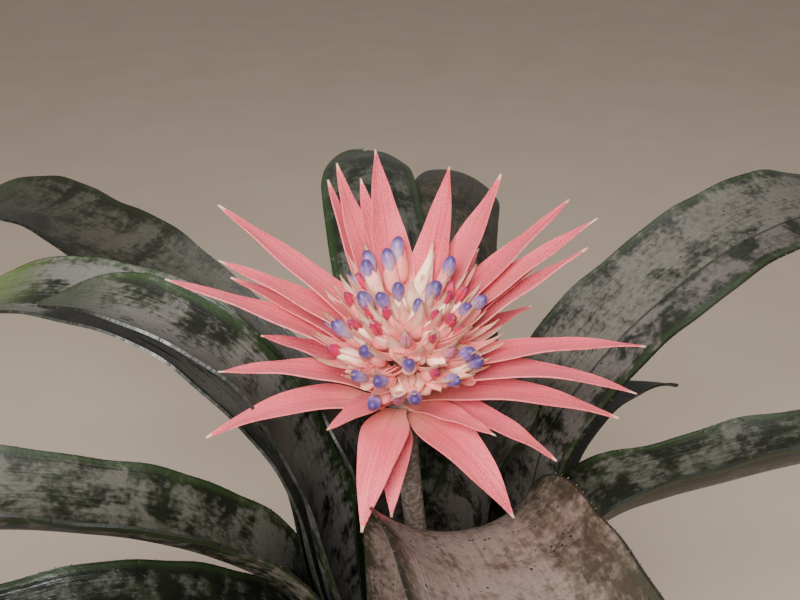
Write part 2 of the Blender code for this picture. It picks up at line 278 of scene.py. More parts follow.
class Signal:
    """A shader socket that takes part in Python expressions."""

    def __init__(self, shader: "Shader", socket: bpy.types.NodeSocket) -> None:
        """Wraps one output socket of a shader."""
        self.shader = shader
        self.socket = socket

    def _math(self, operation: str, first: Any, second: Any) -> "Signal":
        """One Math node on two values."""
        return self.shader.node("ShaderNodeMath", {"operation": operation}, {0: first, 1: second})

    def __add__(self, other: Any) -> "Signal":
        """self + other."""
        return self._math("ADD", self, other)

    __radd__ = __add__

    def __sub__(self, other: Any) -> "Signal":
        """self - other."""
        return self._math("SUBTRACT", self, other)

    def __rsub__(self, other: Any) -> "Signal":
        """other - self."""
        return self._math("SUBTRACT", other, self)

    def __mul__(self, other: Any) -> "Signal":
        """self * other."""
        return self._math("MULTIPLY", self, other)

    __rmul__ = __mul__

    def __pow__(self, other: Any) -> "Signal":
        """self to the power of other."""
        return self._math("POWER", self, other)

    def __abs__(self) -> "Signal":
        """The size of self."""
        return self.shader.node("ShaderNodeMath", {"operation": "ABSOLUTE"}, {0: self})

    def between(self, low: float, high: float) -> "Signal":
        """A smooth step of self.

        Args:
            low: where the step is 0, on either side of high.
            high: where it is 1.

        Returns:
            The step.
        """
        if low > high:
            return 1 - self.between(high, low)
        inputs = {"Value": self, "From Min": low, "From Max": high}
        return self.shader.node("ShaderNodeMapRange", {"interpolation_type": "SMOOTHSTEP"}, inputs)


class Shader:
    """One node material while it is being built."""

    def __init__(self, name: str) -> None:
        """Starts a material with a Principled shader."""
        self.material = bpy.data.materials.new(name)
        self.material.use_nodes = True
        self.tree = self.material.node_tree
        self.principled = self.tree.nodes["Principled BSDF"]

    def node(
        self,
        kind: str,
        settings: Mapping[str, Any] | None = None,
        inputs: Mapping[Any, Any] | None = None,
        output: Any = 0,
    ) -> Signal:
        """Adds any node.

        Args:
            kind: the node's type.
            settings: its own properties, set first.
            inputs: the value or the Signal of each socket, by name or number.
            output: the name or number of the socket to read.

        Returns:
            The output socket, as a Signal.
        """
        made = self.tree.nodes.new(kind)
        for name, value in (settings or {}).items():
            setattr(made, name, value)
        for name, value in (inputs or {}).items():
            self._feed(made.inputs[name], value)
        return Signal(self, made.outputs[output])

    def _feed(self, socket: bpy.types.NodeSocket, value: Any) -> None:
        """Links a Signal to a socket, or sets the socket's own value.

        Args:
            socket: the socket to feed.
            value: a Signal, a number or a colour.
        """
        if isinstance(value, Signal):
            self.tree.links.new(value.socket, socket)
        elif socket.type == "RGBA":
            socket.default_value = (*value, 1.0)
        else:
            socket.default_value = value

    def mark(self, name: str) -> Signal:
        """A vector attribute of the piece."""
        return self.node("ShaderNodeAttribute", {"attribute_name": name}, output="Vector")

    def places(self) -> Signal:
        """The piece's own coordinates, in metres."""
        return self.node("ShaderNodeTexCoord", output="Object")

    def split(self, vector: Signal) -> tuple[Signal, Signal, Signal]:
        """The three numbers of a vector."""
        parts = self.node("ShaderNodeSeparateXYZ", {}, {0: vector}).socket.node.outputs
        return Signal(self, parts[0]), Signal(self, parts[1]), Signal(self, parts[2])

    def scaled(self, vector: Signal, scale: tuple[float, float, float]) -> Signal:
        """A vector with each axis multiplied."""
        return self.node("ShaderNodeVectorMath", {"operation": "MULTIPLY"}, {0: vector, 1: scale})

    def noise(self, vector: Signal, scale: float, detail: float = 2.0, distortion: float = 0.0) -> Signal:
        """Soft noise from 0 to 1, about 0.5 in the middle."""
        inputs = {"Vector": vector, "Scale": scale, "Detail": detail, "Distortion": distortion}
        return self.node("ShaderNodeTexNoise", {"normalize": True}, inputs)

    def cells(self, vector: Signal, scale: float) -> Signal:
        """The distance to the nearest of many scattered points."""
        return self.node("ShaderNodeTexVoronoi", {"feature": "F1"}, {"Vector": vector, "Scale": scale})

    def blend(self, factor: Any, first: Any, second: Any, mode: str = "MIX") -> Signal:
        """Two colours mixed by a factor."""
        settings = {"data_type": "RGBA", "blend_type": mode}
        return self.node("ShaderNodeMix", settings, {0: factor, 6: first, 7: second}, output=2)

    def grey(self, value: Signal) -> Signal:
        """A colour with one value in all its channels."""
        return self.node("ShaderNodeCombineColor", {}, {0: value, 1: value, 2: value})

    def relief(self, height: Signal, depth: float) -> Signal:
        """A normal from a height of 0 to 1 that stands for a depth in metres."""
        return self.node("ShaderNodeBump", {}, {"Height": height, "Distance": depth, "Strength": 1.0})

    def finish(self, **sockets: Any) -> bpy.types.Material:
        """Feeds the Principled shader and gives the finished material.

        Args:
            sockets: the value or Signal of each socket, with its name's spaces as underscores.

        Returns:
            The material.
        """
        for name, value in sockets.items():
            self._feed(self.principled.inputs[name.replace("_", " ").title().replace("Ior", "IOR")], value)
        return self.material


# ------------------------------------------------------------------------------------------------ finishes


@dataclass(frozen=True)
class Mark:
    """A soft oval on a leaf where the powder is thicker or thinner."""

    across: float
    along: float
    half_across: float
    half_along: float
    powder: float


@dataclass(frozen=True)
class LeafFinish:
    """A leaf's dark tissue under a coat of pale powder that breaks up into blotches, cross bands and streaks.

    cover is how much of the leaf is powdered; blotches, bands and streaks are how strongly each breaks it up.
    Beyond its crease the leaf has its own powder and blotches. The other shares run across or along the leaf.
    """

    tissue: Colour = (0.0085, 0.0095, 0.0055)
    bright_tissue: Colour = (0.015, 0.020, 0.0085)
    powder: Colour = (0.105, 0.094, 0.076)
    edge_powder: Colour = (0.085, 0.067, 0.062)
    rim: Colour = (0.020, 0.036, 0.009)
    tip: Colour = (0.030, 0.045, 0.012)
    cover: float = 0.60
    blotches: float = 2.2
    bands: float = 0.8
    streaks: float = 0.4
    pits: float = 0.6
    bands_per_metre: float = 60.0
    crease: float = 2.0
    crease_side: float = 1.0
    rim_width: float = 0.14
    base_bands: float = 0.3
    tip_from: float = 0.97
    marks: tuple[Mark, ...] = ()

    def material(self, name: str) -> bpy.types.Material:
        """Builds the leaf's material.

        Args:
            name: the material's name.

        Returns:
            The finished material.
        """
        shader = Shader(name)
        spot = shader.mark(SPOT)
        across, along, _ = shader.split(spot)
        side, share, _ = shader.split(shader.mark(SHARE))
        edge = abs(side)

        blotches = shader.noise(shader.scaled(spot, (75.0, 60.0, 17.0)), 1.0, 6.0, 0.5)
        bands = shader.noise(shader.scaled(spot, (16.0, self.bands_per_metre, 31.0)), 1.0, 4.0, 0.9)
        streaks = shader.noise(shader.scaled(spot, (800.0, 16.0, 9.0)), 1.0, 3.0)
        grain = shader.noise(shader.scaled(spot, (1500.0, 1200.0, 5.0)), 1.0, 2.0)
        crumbs = shader.noise(shader.scaled(spot, (420.0, 330.0, 3.0)), 1.0, 4.0)
        pits = shader.cells(shader.scaled(spot, (330.0, 230.0, 3.0)), 1.0)

        beyond = (side * self.crease_side).between(self.crease - 0.02, self.crease + 0.02)
        broken = (blotches - 0.5) * (beyond * 1.6 + self.blotches) + (bands - 0.5) * (1.6 * self.bands)
        cover = broken + (streaks - 0.5) * self.streaks + (crumbs - 0.5) * 1.3 + self.cover
        wave = shader.noise(shader.scaled(spot, (34.0, 26.0, 2.0)), 1.0, 3.0)
        ripple = shader.node("ShaderNodeMath", {"operation": "SINE"}, {0: along * 470.0 + wave * 22.0})
        cover = cover + ripple * share.between(0.62, 0.30) * (self.base_bands * 0.7)
        cover = cover - edge.between(1 - self.rim_width * 1.6, 1 - self.rim_width * 0.5) * 0.45
        for mark in self.marks:
            cover = cover + self._oval(across, along, mark) * mark.powder
        cover = (cover - beyond * 0.10).between(0.12, 0.92)

        tissue = shader.blend(blotches.between(0.40, 0.62), self.tissue, self.bright_tissue)
        greening = edge.between(1 - self.rim_width, 1 - self.rim_width * 0.4) * 0.6
        tissue = shader.blend(greening, tissue, self.rim)
        ripe = share.between(self.tip_from - 0.05, min(1.0, self.tip_from + 0.04))
        tissue = shader.blend(ripe, tissue, self.tip)
        powder = shader.blend(beyond * 0.8, self.powder, self.edge_powder)
        colour = shader.blend(cover * (0.92 - ripe * 0.7), tissue, powder)
        shade = streaks * 0.45 + grain * 0.5 + crumbs * 0.35 + 0.33
        colour = shader.blend(1.0, colour, shader.grey(shade), "MULTIPLY")

        # The dark line along a folded leaf's crease is painted shade in the fold.
        line = abs(side * self.crease_side - self.crease).between(0.030, 0.010)
        pitted = pits.between(0.22, 0.12) * (crumbs * 0.5 + bands * 0.5).between(0.50, 0.58) * self.pits
        dark = line * 0.8 + edge.between(0.975, 0.995) * 0.85 + pitted
        colour = shader.blend(dark, colour, (0.004, 0.0045, 0.003))

        height = streaks * 0.5 + grain * cover * 0.3 + crumbs * 0.5 + blotches * 0.8 - pitted * 0.5
        return shader.finish(
            base_color=colour,
            roughness=cover * 0.24 + 0.36,
            normal=shader.relief(height, 0.00045),
            specular_ior_level=0.5,
        )

    @staticmethod
    def _oval(across: Signal, along: Signal, mark: Mark) -> Signal:
        """1 in the middle of a mark, fading to 0 at its edge."""
        sideways = ((across - mark.across) * (1 / mark.half_across)) ** 2.0
        lengthways = ((along - mark.along) * (1 / mark.half_along)) ** 2.0
        return (sideways + lengthways).between(1.0, 0.35)


@dataclass(frozen=True)
class BractFinish:
    """Salmon-pink bract tissue with fine lengthwise veins, painted shade between them, a peach foot and a dry
    tip.
    """

    foot: Colour = (0.84, 0.27, 0.20)
    body: Colour = (0.56, 0.028, 0.062)
    pale: Colour = (0.74, 0.115, 0.140)
    groove_shade: Colour = (0.42, 0.014, 0.040)
    dry: Colour = (0.62, 0.36, 0.24)
    brown: Colour = (0.16, 0.06, 0.03)

    def material(self, name: str) -> bpy.types.Material:
        """Builds the bracts' material.

        Args:
            name: the material's name.

        Returns:
            The finished material.
        """
        shader = Shader(name)
        spot = shader.mark(SPOT)
        side, share, tone = shader.split(shader.mark(SHARE))
        veins = shader.noise(shader.scaled(spot, (2400.0, 20.0, 40.0)), 1.0, 3.0)
        speckle = shader.noise(shader.scaled(spot, (2600.0, 1400.0, 7.0)), 1.0, 2.0)
        clouds = shader.noise(shader.scaled(spot, (120.0, 60.0, 19.0)), 1.0, 3.0)
        body = shader.blend(clouds * 0.7 + tone * 0.4 - 0.15, self.body, self.pale)
        body = shader.blend((veins + speckle).between(0.92, 1.16) * 0.75, body, self.pale)
        # Painted shade: the tissue between the vein ridges is darkened towards the deep colour.
        shadow = (veins + speckle).between(0.98, 0.75) * share.between(0.15, 0.85) * 0.8
        body = shader.blend(shadow, body, self.groove_shade)
        colour = shader.blend(share.between(0.34, 0.05), body, self.foot)
        midrib = abs(side).between(0.16, 0.02) * share.between(0.9, 0.3) * 0.35
        colour = shader.blend(midrib, colour, self.body)
        drying = (share + (speckle - 0.5) * 0.04 + tone * 0.02).between(0.965, 0.995)
        colour = shader.blend(drying, colour, self.dry)
        colour = shader.blend(share.between(0.985, 1.0) * 0.8, colour, self.brown)
        edge = abs(side).between(0.95, 1.0) * 0.12
        colour = shader.blend(edge, colour, self.dry)
        return shader.finish(
            base_color=colour,
            roughness=0.62 - veins * 0.15,
            normal=shader.relief(veins * 0.8 + speckle * 0.6, 0.0004),
            sheen_weight=0.08,
        )


@dataclass(frozen=True)
class ScaleFinish:
    """Floral bracts: cream at the heart, flushed pink outwards, with greenish points that dry brown."""

    cream: Colour = (0.93, 0.64, 0.45)
    flush: Colour = (0.80, 0.19, 0.18)
    point: Colour = (0.70, 0.37, 0.25)
    brown: Colour = (0.26, 0.11, 0.05)

    def material(self, name: str) -> bpy.types.Material:
        """Builds the floral bracts' material.

        Args:
            name: the material's name.

        Returns:
            The finished material.
        """
        shader = Shader(name)
        spot = shader.mark(SPOT)
        side, share, tone = shader.split(shader.mark(SHARE))
        veins = shader.noise(shader.scaled(spot, (1800.0, 60.0, 30.0)), 1.0, 3.0)
        clouds = shader.noise(shader.scaled(spot, (260.0, 160.0, 11.0)), 1.0, 3.0)
        flush = (clouds * 0.6 + tone * 1.1 + abs(side) * 0.35 - 0.35).between(0.2, 0.9)
        colour = shader.blend(flush, self.cream, self.flush)
        colour = shader.blend(share.between(0.68, 0.92) * (1 - tone * 0.6), colour, self.point)
        dry = share.between(0.93, 0.99) + abs(side).between(0.90, 1.0) * share.between(0.45, 0.8)
        colour = shader.blend(dry * 0.75, colour, self.brown)
        colour = shader.blend(veins.between(0.55, 0.7) * 0.25, colour, self.cream)
        return shader.finish(
            base_color=colour,
            roughness=0.6 - veins * 0.12,
            normal=shader.relief(veins, 0.0002),
            sheen_weight=0.08,
        )


@dataclass(frozen=True)
class PetalFinish:
    """A rolled petal bud: pale at its foot, deeper at its rounded end, with light stripes."""

    foot: Colour
    body: Colour
    end: Colour
    crumple: float = 0.0

    def material(self, name: str) -> bpy.types.Material:
        """Builds the petals' material.

        Args:
            name: the material's name.

        Returns:
            The finished material.
        """
        shader = Shader(name)
        spot = shader.mark(SPOT)
        _, share, tone = shader.split(shader.mark(SHARE))
        stripes = shader.noise(shader.scaled(spot, (900.0, 60.0, 50.0)), 1.0, 2.0)
        body = shader.blend(stripes.between(0.4, 0.62) * 0.45, self.body, self.foot)
        colour = shader.blend(share.between(0.72, 0.40), body, self.foot)
        colour = shader.blend((share + (stripes - 0.5) * 0.2).between(0.72, 0.95), colour, self.end)
        colour = shader.blend(tone * 0.25, colour, self.end)
        return shader.finish(
            base_color=colour,
            roughness=0.42 + stripes * 0.1,
            normal=shader.relief(stripes, 0.0002 + self.crumple * 0.0006),
            sheen_weight=0.05,
        )


class PetalKind(Enum):
    """The ages of a petal bud."""

    VIOLET = PetalFinish((0.48, 0.29, 0.40), (0.165, 0.092, 0.285), (0.055, 0.026, 0.125))
    CRIMSON = PetalFinish((0.62, 0.030, 0.12), (0.55, 0.006, 0.040), (0.28, 0.006, 0.060), 1.0)
    FADED = PetalFinish((0.66, 0.26, 0.25), (0.48, 0.14, 0.18), (0.34, 0.06, 0.12), 0.6)


@dataclass(frozen=True)
class MealyFinish:
    """The flower stem: pale pink under a white meal, with both colours darkened as painted shade from the
    head above it.
    """

    # Painted shade: these colours are darker than the stem's own, for the shadow of the head.
    pink: Colour = (0.20, 0.13, 0.09)
    meal: Colour = (0.34, 0.28, 0.24)

    def material(self, name: str) -> bpy.types.Material:
        """Builds the stem's material.

        Args:
            name: the material's name.

        Returns:
            The finished material.
        """
        shader = Shader(name)
        place = shader.places()
        meal = shader.noise(place, 420.0, 4.0).between(0.40, 0.62)
        fibres = shader.noise(shader.scaled(place, (900.0, 900.0, 30.0)), 1.0, 2.0)
        colour = shader.blend(meal * 0.8, self.pink, self.meal)
        relief = shader.relief(meal * 0.5 + fibres * 0.5, 0.0004)
        return shader.finish(base_color=colour, roughness=0.62 + meal * 0.2, normal=relief)


@dataclass(frozen=True)
class PlasticFinish:
    """Terracotta-coloured moulded plastic with a fine matte skin, faint dust and light scuffs."""

    clay: Colour = (0.40, 0.125, 0.060)
    pale_clay: Colour = (0.50, 0.20, 0.11)
    dust: Colour = (0.52, 0.43, 0.34)

    def material(self, name: str) -> bpy.types.Material:
        """Builds the pot's material.

        Args:
            name: the material's name.

        Returns:
            The finished material.
        """
        shader = Shader(name)
        place = shader.places()
        _, _, height = shader.split(place)
        clouds = shader.noise(place, 22.0, 5.0)
        skin = shader.noise(place, 1800.0, 2.0)
        drips = shader.noise(shader.scaled(place, (90.0, 90.0, 5.0)), 1.0, 4.0)
        colour = shader.blend(clouds.between(0.35, 0.68), self.clay, self.pale_clay)
        dust = drips.between(0.52, 0.75) * 0.35 + height.between(0.035, 0.0) * 0.35
        colour = shader.blend(dust, colour, self.dust)
        scuffs = shader.noise(shader.scaled(place, (60.0, 60.0, 700.0)), 1.0, 3.0).between(0.66, 0.72)
        colour = shader.blend(scuffs * 0.3, colour, self.dust)
        relief = shader.relief(skin * 0.6 + clouds * 0.4, 0.0003)
        return shader.finish(base_color=colour, roughness=0.46 + clouds * 0.2 + dust * 0.3, normal=relief)


@dataclass(frozen=True)
class BarkFinish:
    """Damp bark chips: dark brown with a pale woody grain and a few reddish faces."""

    dark: Colour = (0.030, 0.016, 0.009)
    red: Colour = (0.115, 0.045, 0.020)
    pale: Colour = (0.26, 0.16, 0.085)

    def material(self, name: str) -> bpy.types.Material:
        """Builds the bark's material.

        Args:
            name: the material's name.

        Returns:
            The finished material.
        """
        shader = Shader(name)
        place = shader.places()
        _, _, tone = shader.split(shader.mark(SHARE))
        grain = shader.noise(shader.scaled(place, (300.0, 300.0, 900.0)), 1.0, 5.0)
        clouds = shader.noise(place, 130.0, 3.0)
        colour = shader.blend((tone + clouds - 0.5).between(0.2, 0.8), self.dark, self.red)
        colour = shader.blend(grain.between(0.55, 0.72) * (tone * 0.7 + 0.1), colour, self.pale)
        relief = shader.relief(grain * 0.7 + clouds * 0.3, 0.0012)
        return shader.finish(base_color=colour, roughness=0.95 - grain * 0.25, normal=relief)


@dataclass(frozen=True)
class SpineFinish:
    """Leaf spines: horny brown-black, paler at the foot."""

    horn: Colour = (0.030, 0.018, 0.010)
    foot: Colour = (0.10, 0.09, 0.03)

    def material(self, name: str) -> bpy.types.Material:
        """Builds the spines' material.

        Args:
            name: the material's name.

        Returns:
            The finished material.
        """
        shader = Shader(name)
        mottle = shader.noise(shader.places(), 900.0, 2.0)
        colour = shader.blend(mottle.between(0.4, 0.65), self.horn, self.foot)
        return shader.finish(base_color=colour, roughness=0.35 + mottle * 0.2)


@dataclass(frozen=True)
class FloorFinish:
    """A plain pale floor with a barely seen texture."""

    tint: Colour = (0.70, 0.56, 0.44)
    shade: Colour = (0.67, 0.53, 0.415)

    def material(self, name: str) -> bpy.types.Material:
        """Builds the floor's material.

        Args:
            name: the material's name.

        Returns:
            The finished material.
        """
        shader = Shader(name)
        mottle = shader.noise(shader.places(), 6.0, 5.0)
        colour = shader.blend(mottle.between(0.3, 0.7), self.tint, self.shade)
        return shader.finish(base_color=colour, roughness=0.9, normal=shader.relief(mottle, 0.0008))


# --------------------------------------------------------------------------------------------------- straps


@dataclass(frozen=True)
class Spine:
    """The middle line of a strap, walked in even steps as the frame's own pieces are.

    heading_at, tilt_at and roll_at give angles in radians at each share of the length.
    """

    start: Array
    length: float
    steps: int
    heading_at: Callable[[Array], Array]
    tilt_at: Callable[[Array], Array]
    roll_at: Callable[[Array], Array]

    def directions(self, share: Array) -> tuple[Array, Array, Array]:
        """The strap's own directions at each share of its length.

        Args:
            share: shares of the length, from 0 to 1.

        Returns:
            The directions along the strap, sideways, and inwards to its upper face.
        """
        heading, tilt, roll = self.heading_at(share), self.tilt_at(share), self.roll_at(share)
        level = np.stack([np.cos(heading), np.sin(heading), np.zeros_like(heading)], axis=-1)
        flat_side = np.stack([-np.sin(heading), np.cos(heading), np.zeros_like(heading)], axis=-1)
        along = level * np.cos(tilt)[:, None] + UP * np.sin(tilt)[:, None]
        side = flat_side * np.cos(roll)[:, None] + np.cross(along, flat_side) * np.sin(roll)[:, None]
        return along, side, np.cross(along, side)

    def places(self, share: Array) -> Array:
        """The points of the middle line, on a smooth curve through its steps.

        Args:
            share: shares of the length, from 0 to 1.

        Returns:
            The points, one row each.
        """
        along, _, _ = self.directions(np.linspace(0, 1, self.steps + 1))
        walked = self.start + running_sum((along[:-1] * self.length / self.steps).T).T
        before, after = 2 * walked[0] - walked[1], 2 * walked[-1] - walked[-2]
        padded = np.concatenate([[before], walked, [after]])
        low = np.clip((share * self.steps).astype(int), 0, self.steps - 1)
        rest = (share * self.steps - low)[:, None]
        a, b, c, d = (padded[low + shift] for shift in range(4))
        cubic = (3 * b - 3 * c + d - a) * rest**3
        square = (2 * a - 5 * b + 4 * c - d) * rest**2
        return b + ((c - a) * rest + square + cubic) / 2


@dataclass(frozen=True)
class Gutter:
    """The section of a strap: an arc across it, with a fold along a crease and wavy margins.

    curvature is per metre and fold is in radians; each has one value per row. crease and softness are metres.
    """

    curvature: Array
    fold: Array
    crease: Array
    softness: float

    def offsets(self, across: Array) -> tuple[Array, Array]:
        """Sideways and inward distances from the middle line.

        Args:
            across: distances across the flat strap, by row and column.

        Returns:
            The sideways and the inward distance of each point.
        """
        turned = ease((across - self.crease[:, None]) / self.softness + 0.5)
        middle = across.shape[1] // 2
        folded = self.fold[:, None] * (turned - turned[:, middle : middle + 1])
        angle = across * self.curvature[:, None] + folded
        step = np.diff(across, axis=1)
        level = (angle[:, 1:] + angle[:, :-1]) / 2
        sideways, inward = running_sum(step * np.cos(level)), running_sum(step * np.sin(level))
        return sideways - sideways[:, middle : middle + 1], inward - inward[:, middle : middle + 1]


def on_spine(spine: Spine, share: Array, inward: Array, sideways: Array, lift: Array) -> Array:
    """The points of a strap's surface.

    Args:
        spine: the strap's middle line.
        share: the share of the length at each row.
        inward: the inward direction at each row.
        sideways: the distance sideways of each point, by row and column.
        lift: the distance inwards of each point.

    Returns:
        The points, by row and column.
    """
    _, side, _ = spine.directions(share)
    middle = spine.places(share)[:, None]
    return middle + side[:, None] * sideways[..., None] + inward[:, None] * lift[..., None]


# -------------------------------------------------------------------------------------------------- leaves


@dataclass(frozen=True)
class Leaf:
    """One strap leaf.

    azimuth is in degrees from +X towards +Y, and layer 0 is the innermost sheath. rise is the sheath's
    height and bend the length of the turn outwards. out_tilt and tip_tilt are degrees above the horizon
    after the turn and at the tip. sway is the sideways turn along the blade, roll its twist, and fold the
    angle at its crease, in degrees. crease is the crease's place as a share of the half width, and ruffle
    the height of the margin's waves. arch is the radius of the blade's channel, negative where the blade
    is humped, and point draws the tip out.
    """

    name: str
    azimuth: float
    layer: int
    rise: float
    bend: float
    out_tilt: float
    tip_tilt: float
    length: float
    width: float
    finish: LeafFinish
    sway: float = 0.0
    roll: float = 0.0
    fold: float = 0.0
    crease: float = 0.4
    ruffle: float = 0.0010
    arch: float = 0.050
    point: float = 1.0


@dataclass
class Rosette:
    """The leaves, whose sheaths nest round the flower stem and hold water."""

    leaves: tuple[Leaf, ...]
    foot_height: float = 0.119
    inner_radius: float = 0.0125
    layer_step: float = 0.0024
    thickness: float = 0.0013
    wrap: float = 1.25
    sheath_width: float = 0.084
    widest_radius: float = 0.075
    foot_tilt: float = 80.0
    top_tilt: float = 89.0
    flare: float = 0.9
    spine_steps: int = 60
    tip_width: float = 0.003
    tip_zone: float = 0.95
    tip_roundness: float = 2.2
    rows: int = 250
    columns: int = 28
    spine_spacing: float = 0.0065
    spine_length: float = 0.0016
    spine_radius: float = 0.0005
    spine_point: float = 0.00006
    bare_margin: float = 0.004
    tip_spine: float = 1.3
    crease_softness: float = 0.006
    waves: tuple[tuple[float, float], ...] = ((0.115, 1.0), (0.062, 0.55), (0.031, 0.25))

    def spine_of(self, leaf: Leaf) -> Spine:
        """The leaf's middle line: up the sheath, over the bend and out along the blade.

        Args:
            leaf: the leaf's sizes.

        Returns:
            The middle line.
        """
        radius = self.inner_radius + leaf.layer * self.layer_step
        azimuth = math.radians(leaf.azimuth)
        start = np.array((radius * math.cos(azimuth), radius * math.sin(azimuth), self.foot_height))
        rise, bend = leaf.rise / leaf.length, leaf.bend / leaf.length

        def beyond(share: Array) -> Array:
            """How far along the blade a share is."""
            return np.maximum(0.0, (share - rise) / (1 - rise))

        def tilt_at(share: Array) -> Array:
            """Radians above the horizon."""
            sheath = mix(self.foot_tilt, self.top_tilt, ease(share / rise)) - leaf.layer * self.flare
            out = np.maximum(0.0, (share - rise - bend) / (1 - rise - bend))
            blade = mix(leaf.out_tilt, leaf.tip_tilt, out)
            return np.radians(mix(sheath, blade, ease((share - rise) / bend)))

        def heading_at(share: Array) -> Array:
            """Radians from +X."""
            return np.radians(leaf.azimuth + leaf.sway * beyond(share) ** 1.3)

        def roll_at(share: Array) -> Array:
            """Radians of twist."""
            return np.radians(leaf.roll * ease(beyond(share) * 1.4))

        return Spine(start, leaf.length, self.spine_steps, heading_at, tilt_at, roll_at)

    def half_width(self, leaf: Leaf, share: Array) -> Array:
        """Half the leaf's width: a broad sheath, an even blade and a rounded or drawn-out tip.

        Args:
            leaf: the leaf's sizes.
            share: shares of the length, from 0 to 1.

        Returns:
            The half width at each share.
        """
        places = self.spine_of(leaf).places(share)
        radius = np.minimum(np.hypot(places[:, 0], places[:, 1]), self.widest_radius)
        rise = leaf.rise / leaf.length
        sheath = np.minimum(self.sheath_width / 2, self.wrap * radius)
        width = mix(sheath, leaf.width / 2, ease((share - rise * 0.75) / 0.25))
        closing = np.clip(1 - (1 - share) * leaf.length / (leaf.width * self.tip_zone * leaf.point), 0, 1)
        drawn_out = 1 - closing if leaf.point > 1 else np.sqrt(1 - closing**self.tip_roundness)
        return np.maximum(width * drawn_out, self.tip_width / 2)

    def surface(self, leaf: Leaf) -> Array:
        """The leaf's middle surface.

        Args:
            leaf: the leaf's sizes.

        Returns:
            Its points, by row and column.
        """
        share = np.linspace(0, 1, self.rows + 1)
        across = np.linspace(-1, 1, self.columns + 1)[None, :]
        spine = self.spine_of(leaf)
        places = spine.places(share)
        _, _, inward = spine.directions(share)
        radius = np.hypot(places[:, 0], places[:, 1])
        rise, bend = leaf.rise / leaf.length, leaf.bend / leaf.length
        opening = ease((share - rise * 0.9) / (bend * 1.6))
        level_inward = -places * (1, 1, 0) / radius[:, None]
        inward = unit(mix(level_inward, inward, opening[:, None]))
        curvature = mix(1 / np.minimum(radius, self.widest_radius), 1 / leaf.arch, opening)
        half = self.half_width(leaf, share)
        crease = np.full_like(share, leaf.crease) * half
        fold = math.radians(leaf.fold) * opening * ease((1 - share) * 8)
        gutter = Gutter(curvature, fold, crease, self.crease_softness)
        sideways, lift = gutter.offsets(across * half[:, None])
        lift = lift + self._ruffle(leaf, share, across) * opening[:, None]
        return on_spine(spine, share, inward, sideways, lift)

    def _ruffle(self, leaf: Leaf, share: Array, across: Array) -> Array:
        """Soft waves: stronger at the margins, faint over the blade.

        Args:
            leaf: the leaf's sizes.
            share: shares of the length, one for each row.
            across: places from -1 to 1 across the blade.

        Returns:
            The height of each point, by row and column.
        """
        rng = random.Random(leaf.name)
        metres = share[:, None] * leaf.length
        waves = np.zeros((len(share), across.shape[1]))
        for wavelength, height in self.waves:
            phase, lean = rng.uniform(0, math.tau), rng.uniform(-2.0, 2.0)
            waves = waves + height * np.sin(math.tau * metres / wavelength + phase + lean * across)
        return leaf.ruffle * waves * (0.25 + 1.1 * np.abs(across) ** 3)

    def _spine_template(self) -> bpy.types.Object:
        """One marginal spine: a small hooked cone that points along +X and leans towards +Y.

        Returns:
            The spine.
        """
        bpy.ops.mesh.primitive_cone_add(
            vertices=6,
            radius1=self.spine_radius,
            radius2=self.spine_point,
            depth=self.spine_length,
            end_fill_type="NGON",
        )
        obj = bpy.context.object
        obj.rotation_euler = (0, math.radians(90), 0)
        bpy.ops.object.transform_apply(location=True, rotation=True, scale=True)
        points = points_of(obj)
        reach = points[:, 0] / self.spine_length + 0.5
        points[:, 1] += reach**2 * self.spine_length * 0.5
        move_points(obj, points)
        return dress(obj, self.horn)

    def _margin_spines(self, leaf: Leaf, points: Array) -> list[bpy.types.Object]:
        """The spines along both margins, and the one at the tip.

        Args:
            leaf: the leaf's sizes.
            points: its surface, by row and column.

        Returns:
            The spines.
        """
        rng = random.Random(leaf.name + "_spines")
        template = self._spine_template()
        spines = []
        for edge, inner in ((0, 2), (self.columns, self.columns - 2)):
            line = points[:, edge]
            walked = np.concatenate([[0], np.cumsum(np.linalg.norm(np.diff(line, axis=0), axis=1))])
            place = self.spine_spacing * 2
            while place < walked[-1] - self.bare_margin:
                row = int(np.searchsorted(walked, place))
                outwards = unit(points[row, edge] - points[row, inner])
                along = unit(points[min(row + 1, self.rows), edge] - points[row - 1, edge])
                size = rng.uniform(0.65, 1.15)
                spines.append(stamp(template, self._spine_place(points[row, edge], outwards, along, size)))
                place += self.spine_spacing * rng.uniform(0.7, 1.35)
        middle = self.columns // 2
        along = unit(points[-1, middle] - points[-3, middle])
        side = unit(points[-1, -1] - points[-1, 0])
        lean = side * 0.3 + along * 0.01
        spines.append(stamp(template, self._spine_place(points[-1, middle], along, lean, self.tip_spine)))
        remove(template)
        return spines

    @staticmethod
    def _spine_place(spot: Array, outwards: Array, along: Array, size: float) -> Matrix:
        """Where a spine goes, with its +X outwards and its +Y along the margin.

        Args:
            spot: the place of its middle.
            outwards: the direction it points in.
            along: the direction it leans in.
            size: its size as a share of the template's.

        Returns:
            The place, for stamp.
        """
        x_axis = Vector(outwards)
        z_axis = x_axis.cross(Vector(along)).normalized()
        y_axis = z_axis.cross(x_axis)
        turn = Matrix((x_axis, y_axis, z_axis)).transposed().to_4x4()
        return Matrix.Translation(Vector(spot)) @ turn @ Matrix.Scale(size, 4)

    def build_leaf(self, leaf: Leaf) -> bpy.types.Object:
        """Builds and dresses one leaf.

        Args:
            leaf: the leaf's sizes and finish.

        Returns:
            The finished leaf.
        """
        points = self.surface(leaf)
        blade = strap_sheet(leaf.name + "_blade", self.columns, self.rows, points, self.thickness)
        tone = leaf.layer / len(self.leaves)
        mark_strap(blade, lambda share: self.half_width(leaf, share), leaf.length, tone)
        dress(blade, leaf.finish.material(leaf.name))
        piece = joined(leaf.name + "_blade", [blade, *self._margin_spines(leaf, points)])
        smooth_faces(piece)
        return piece

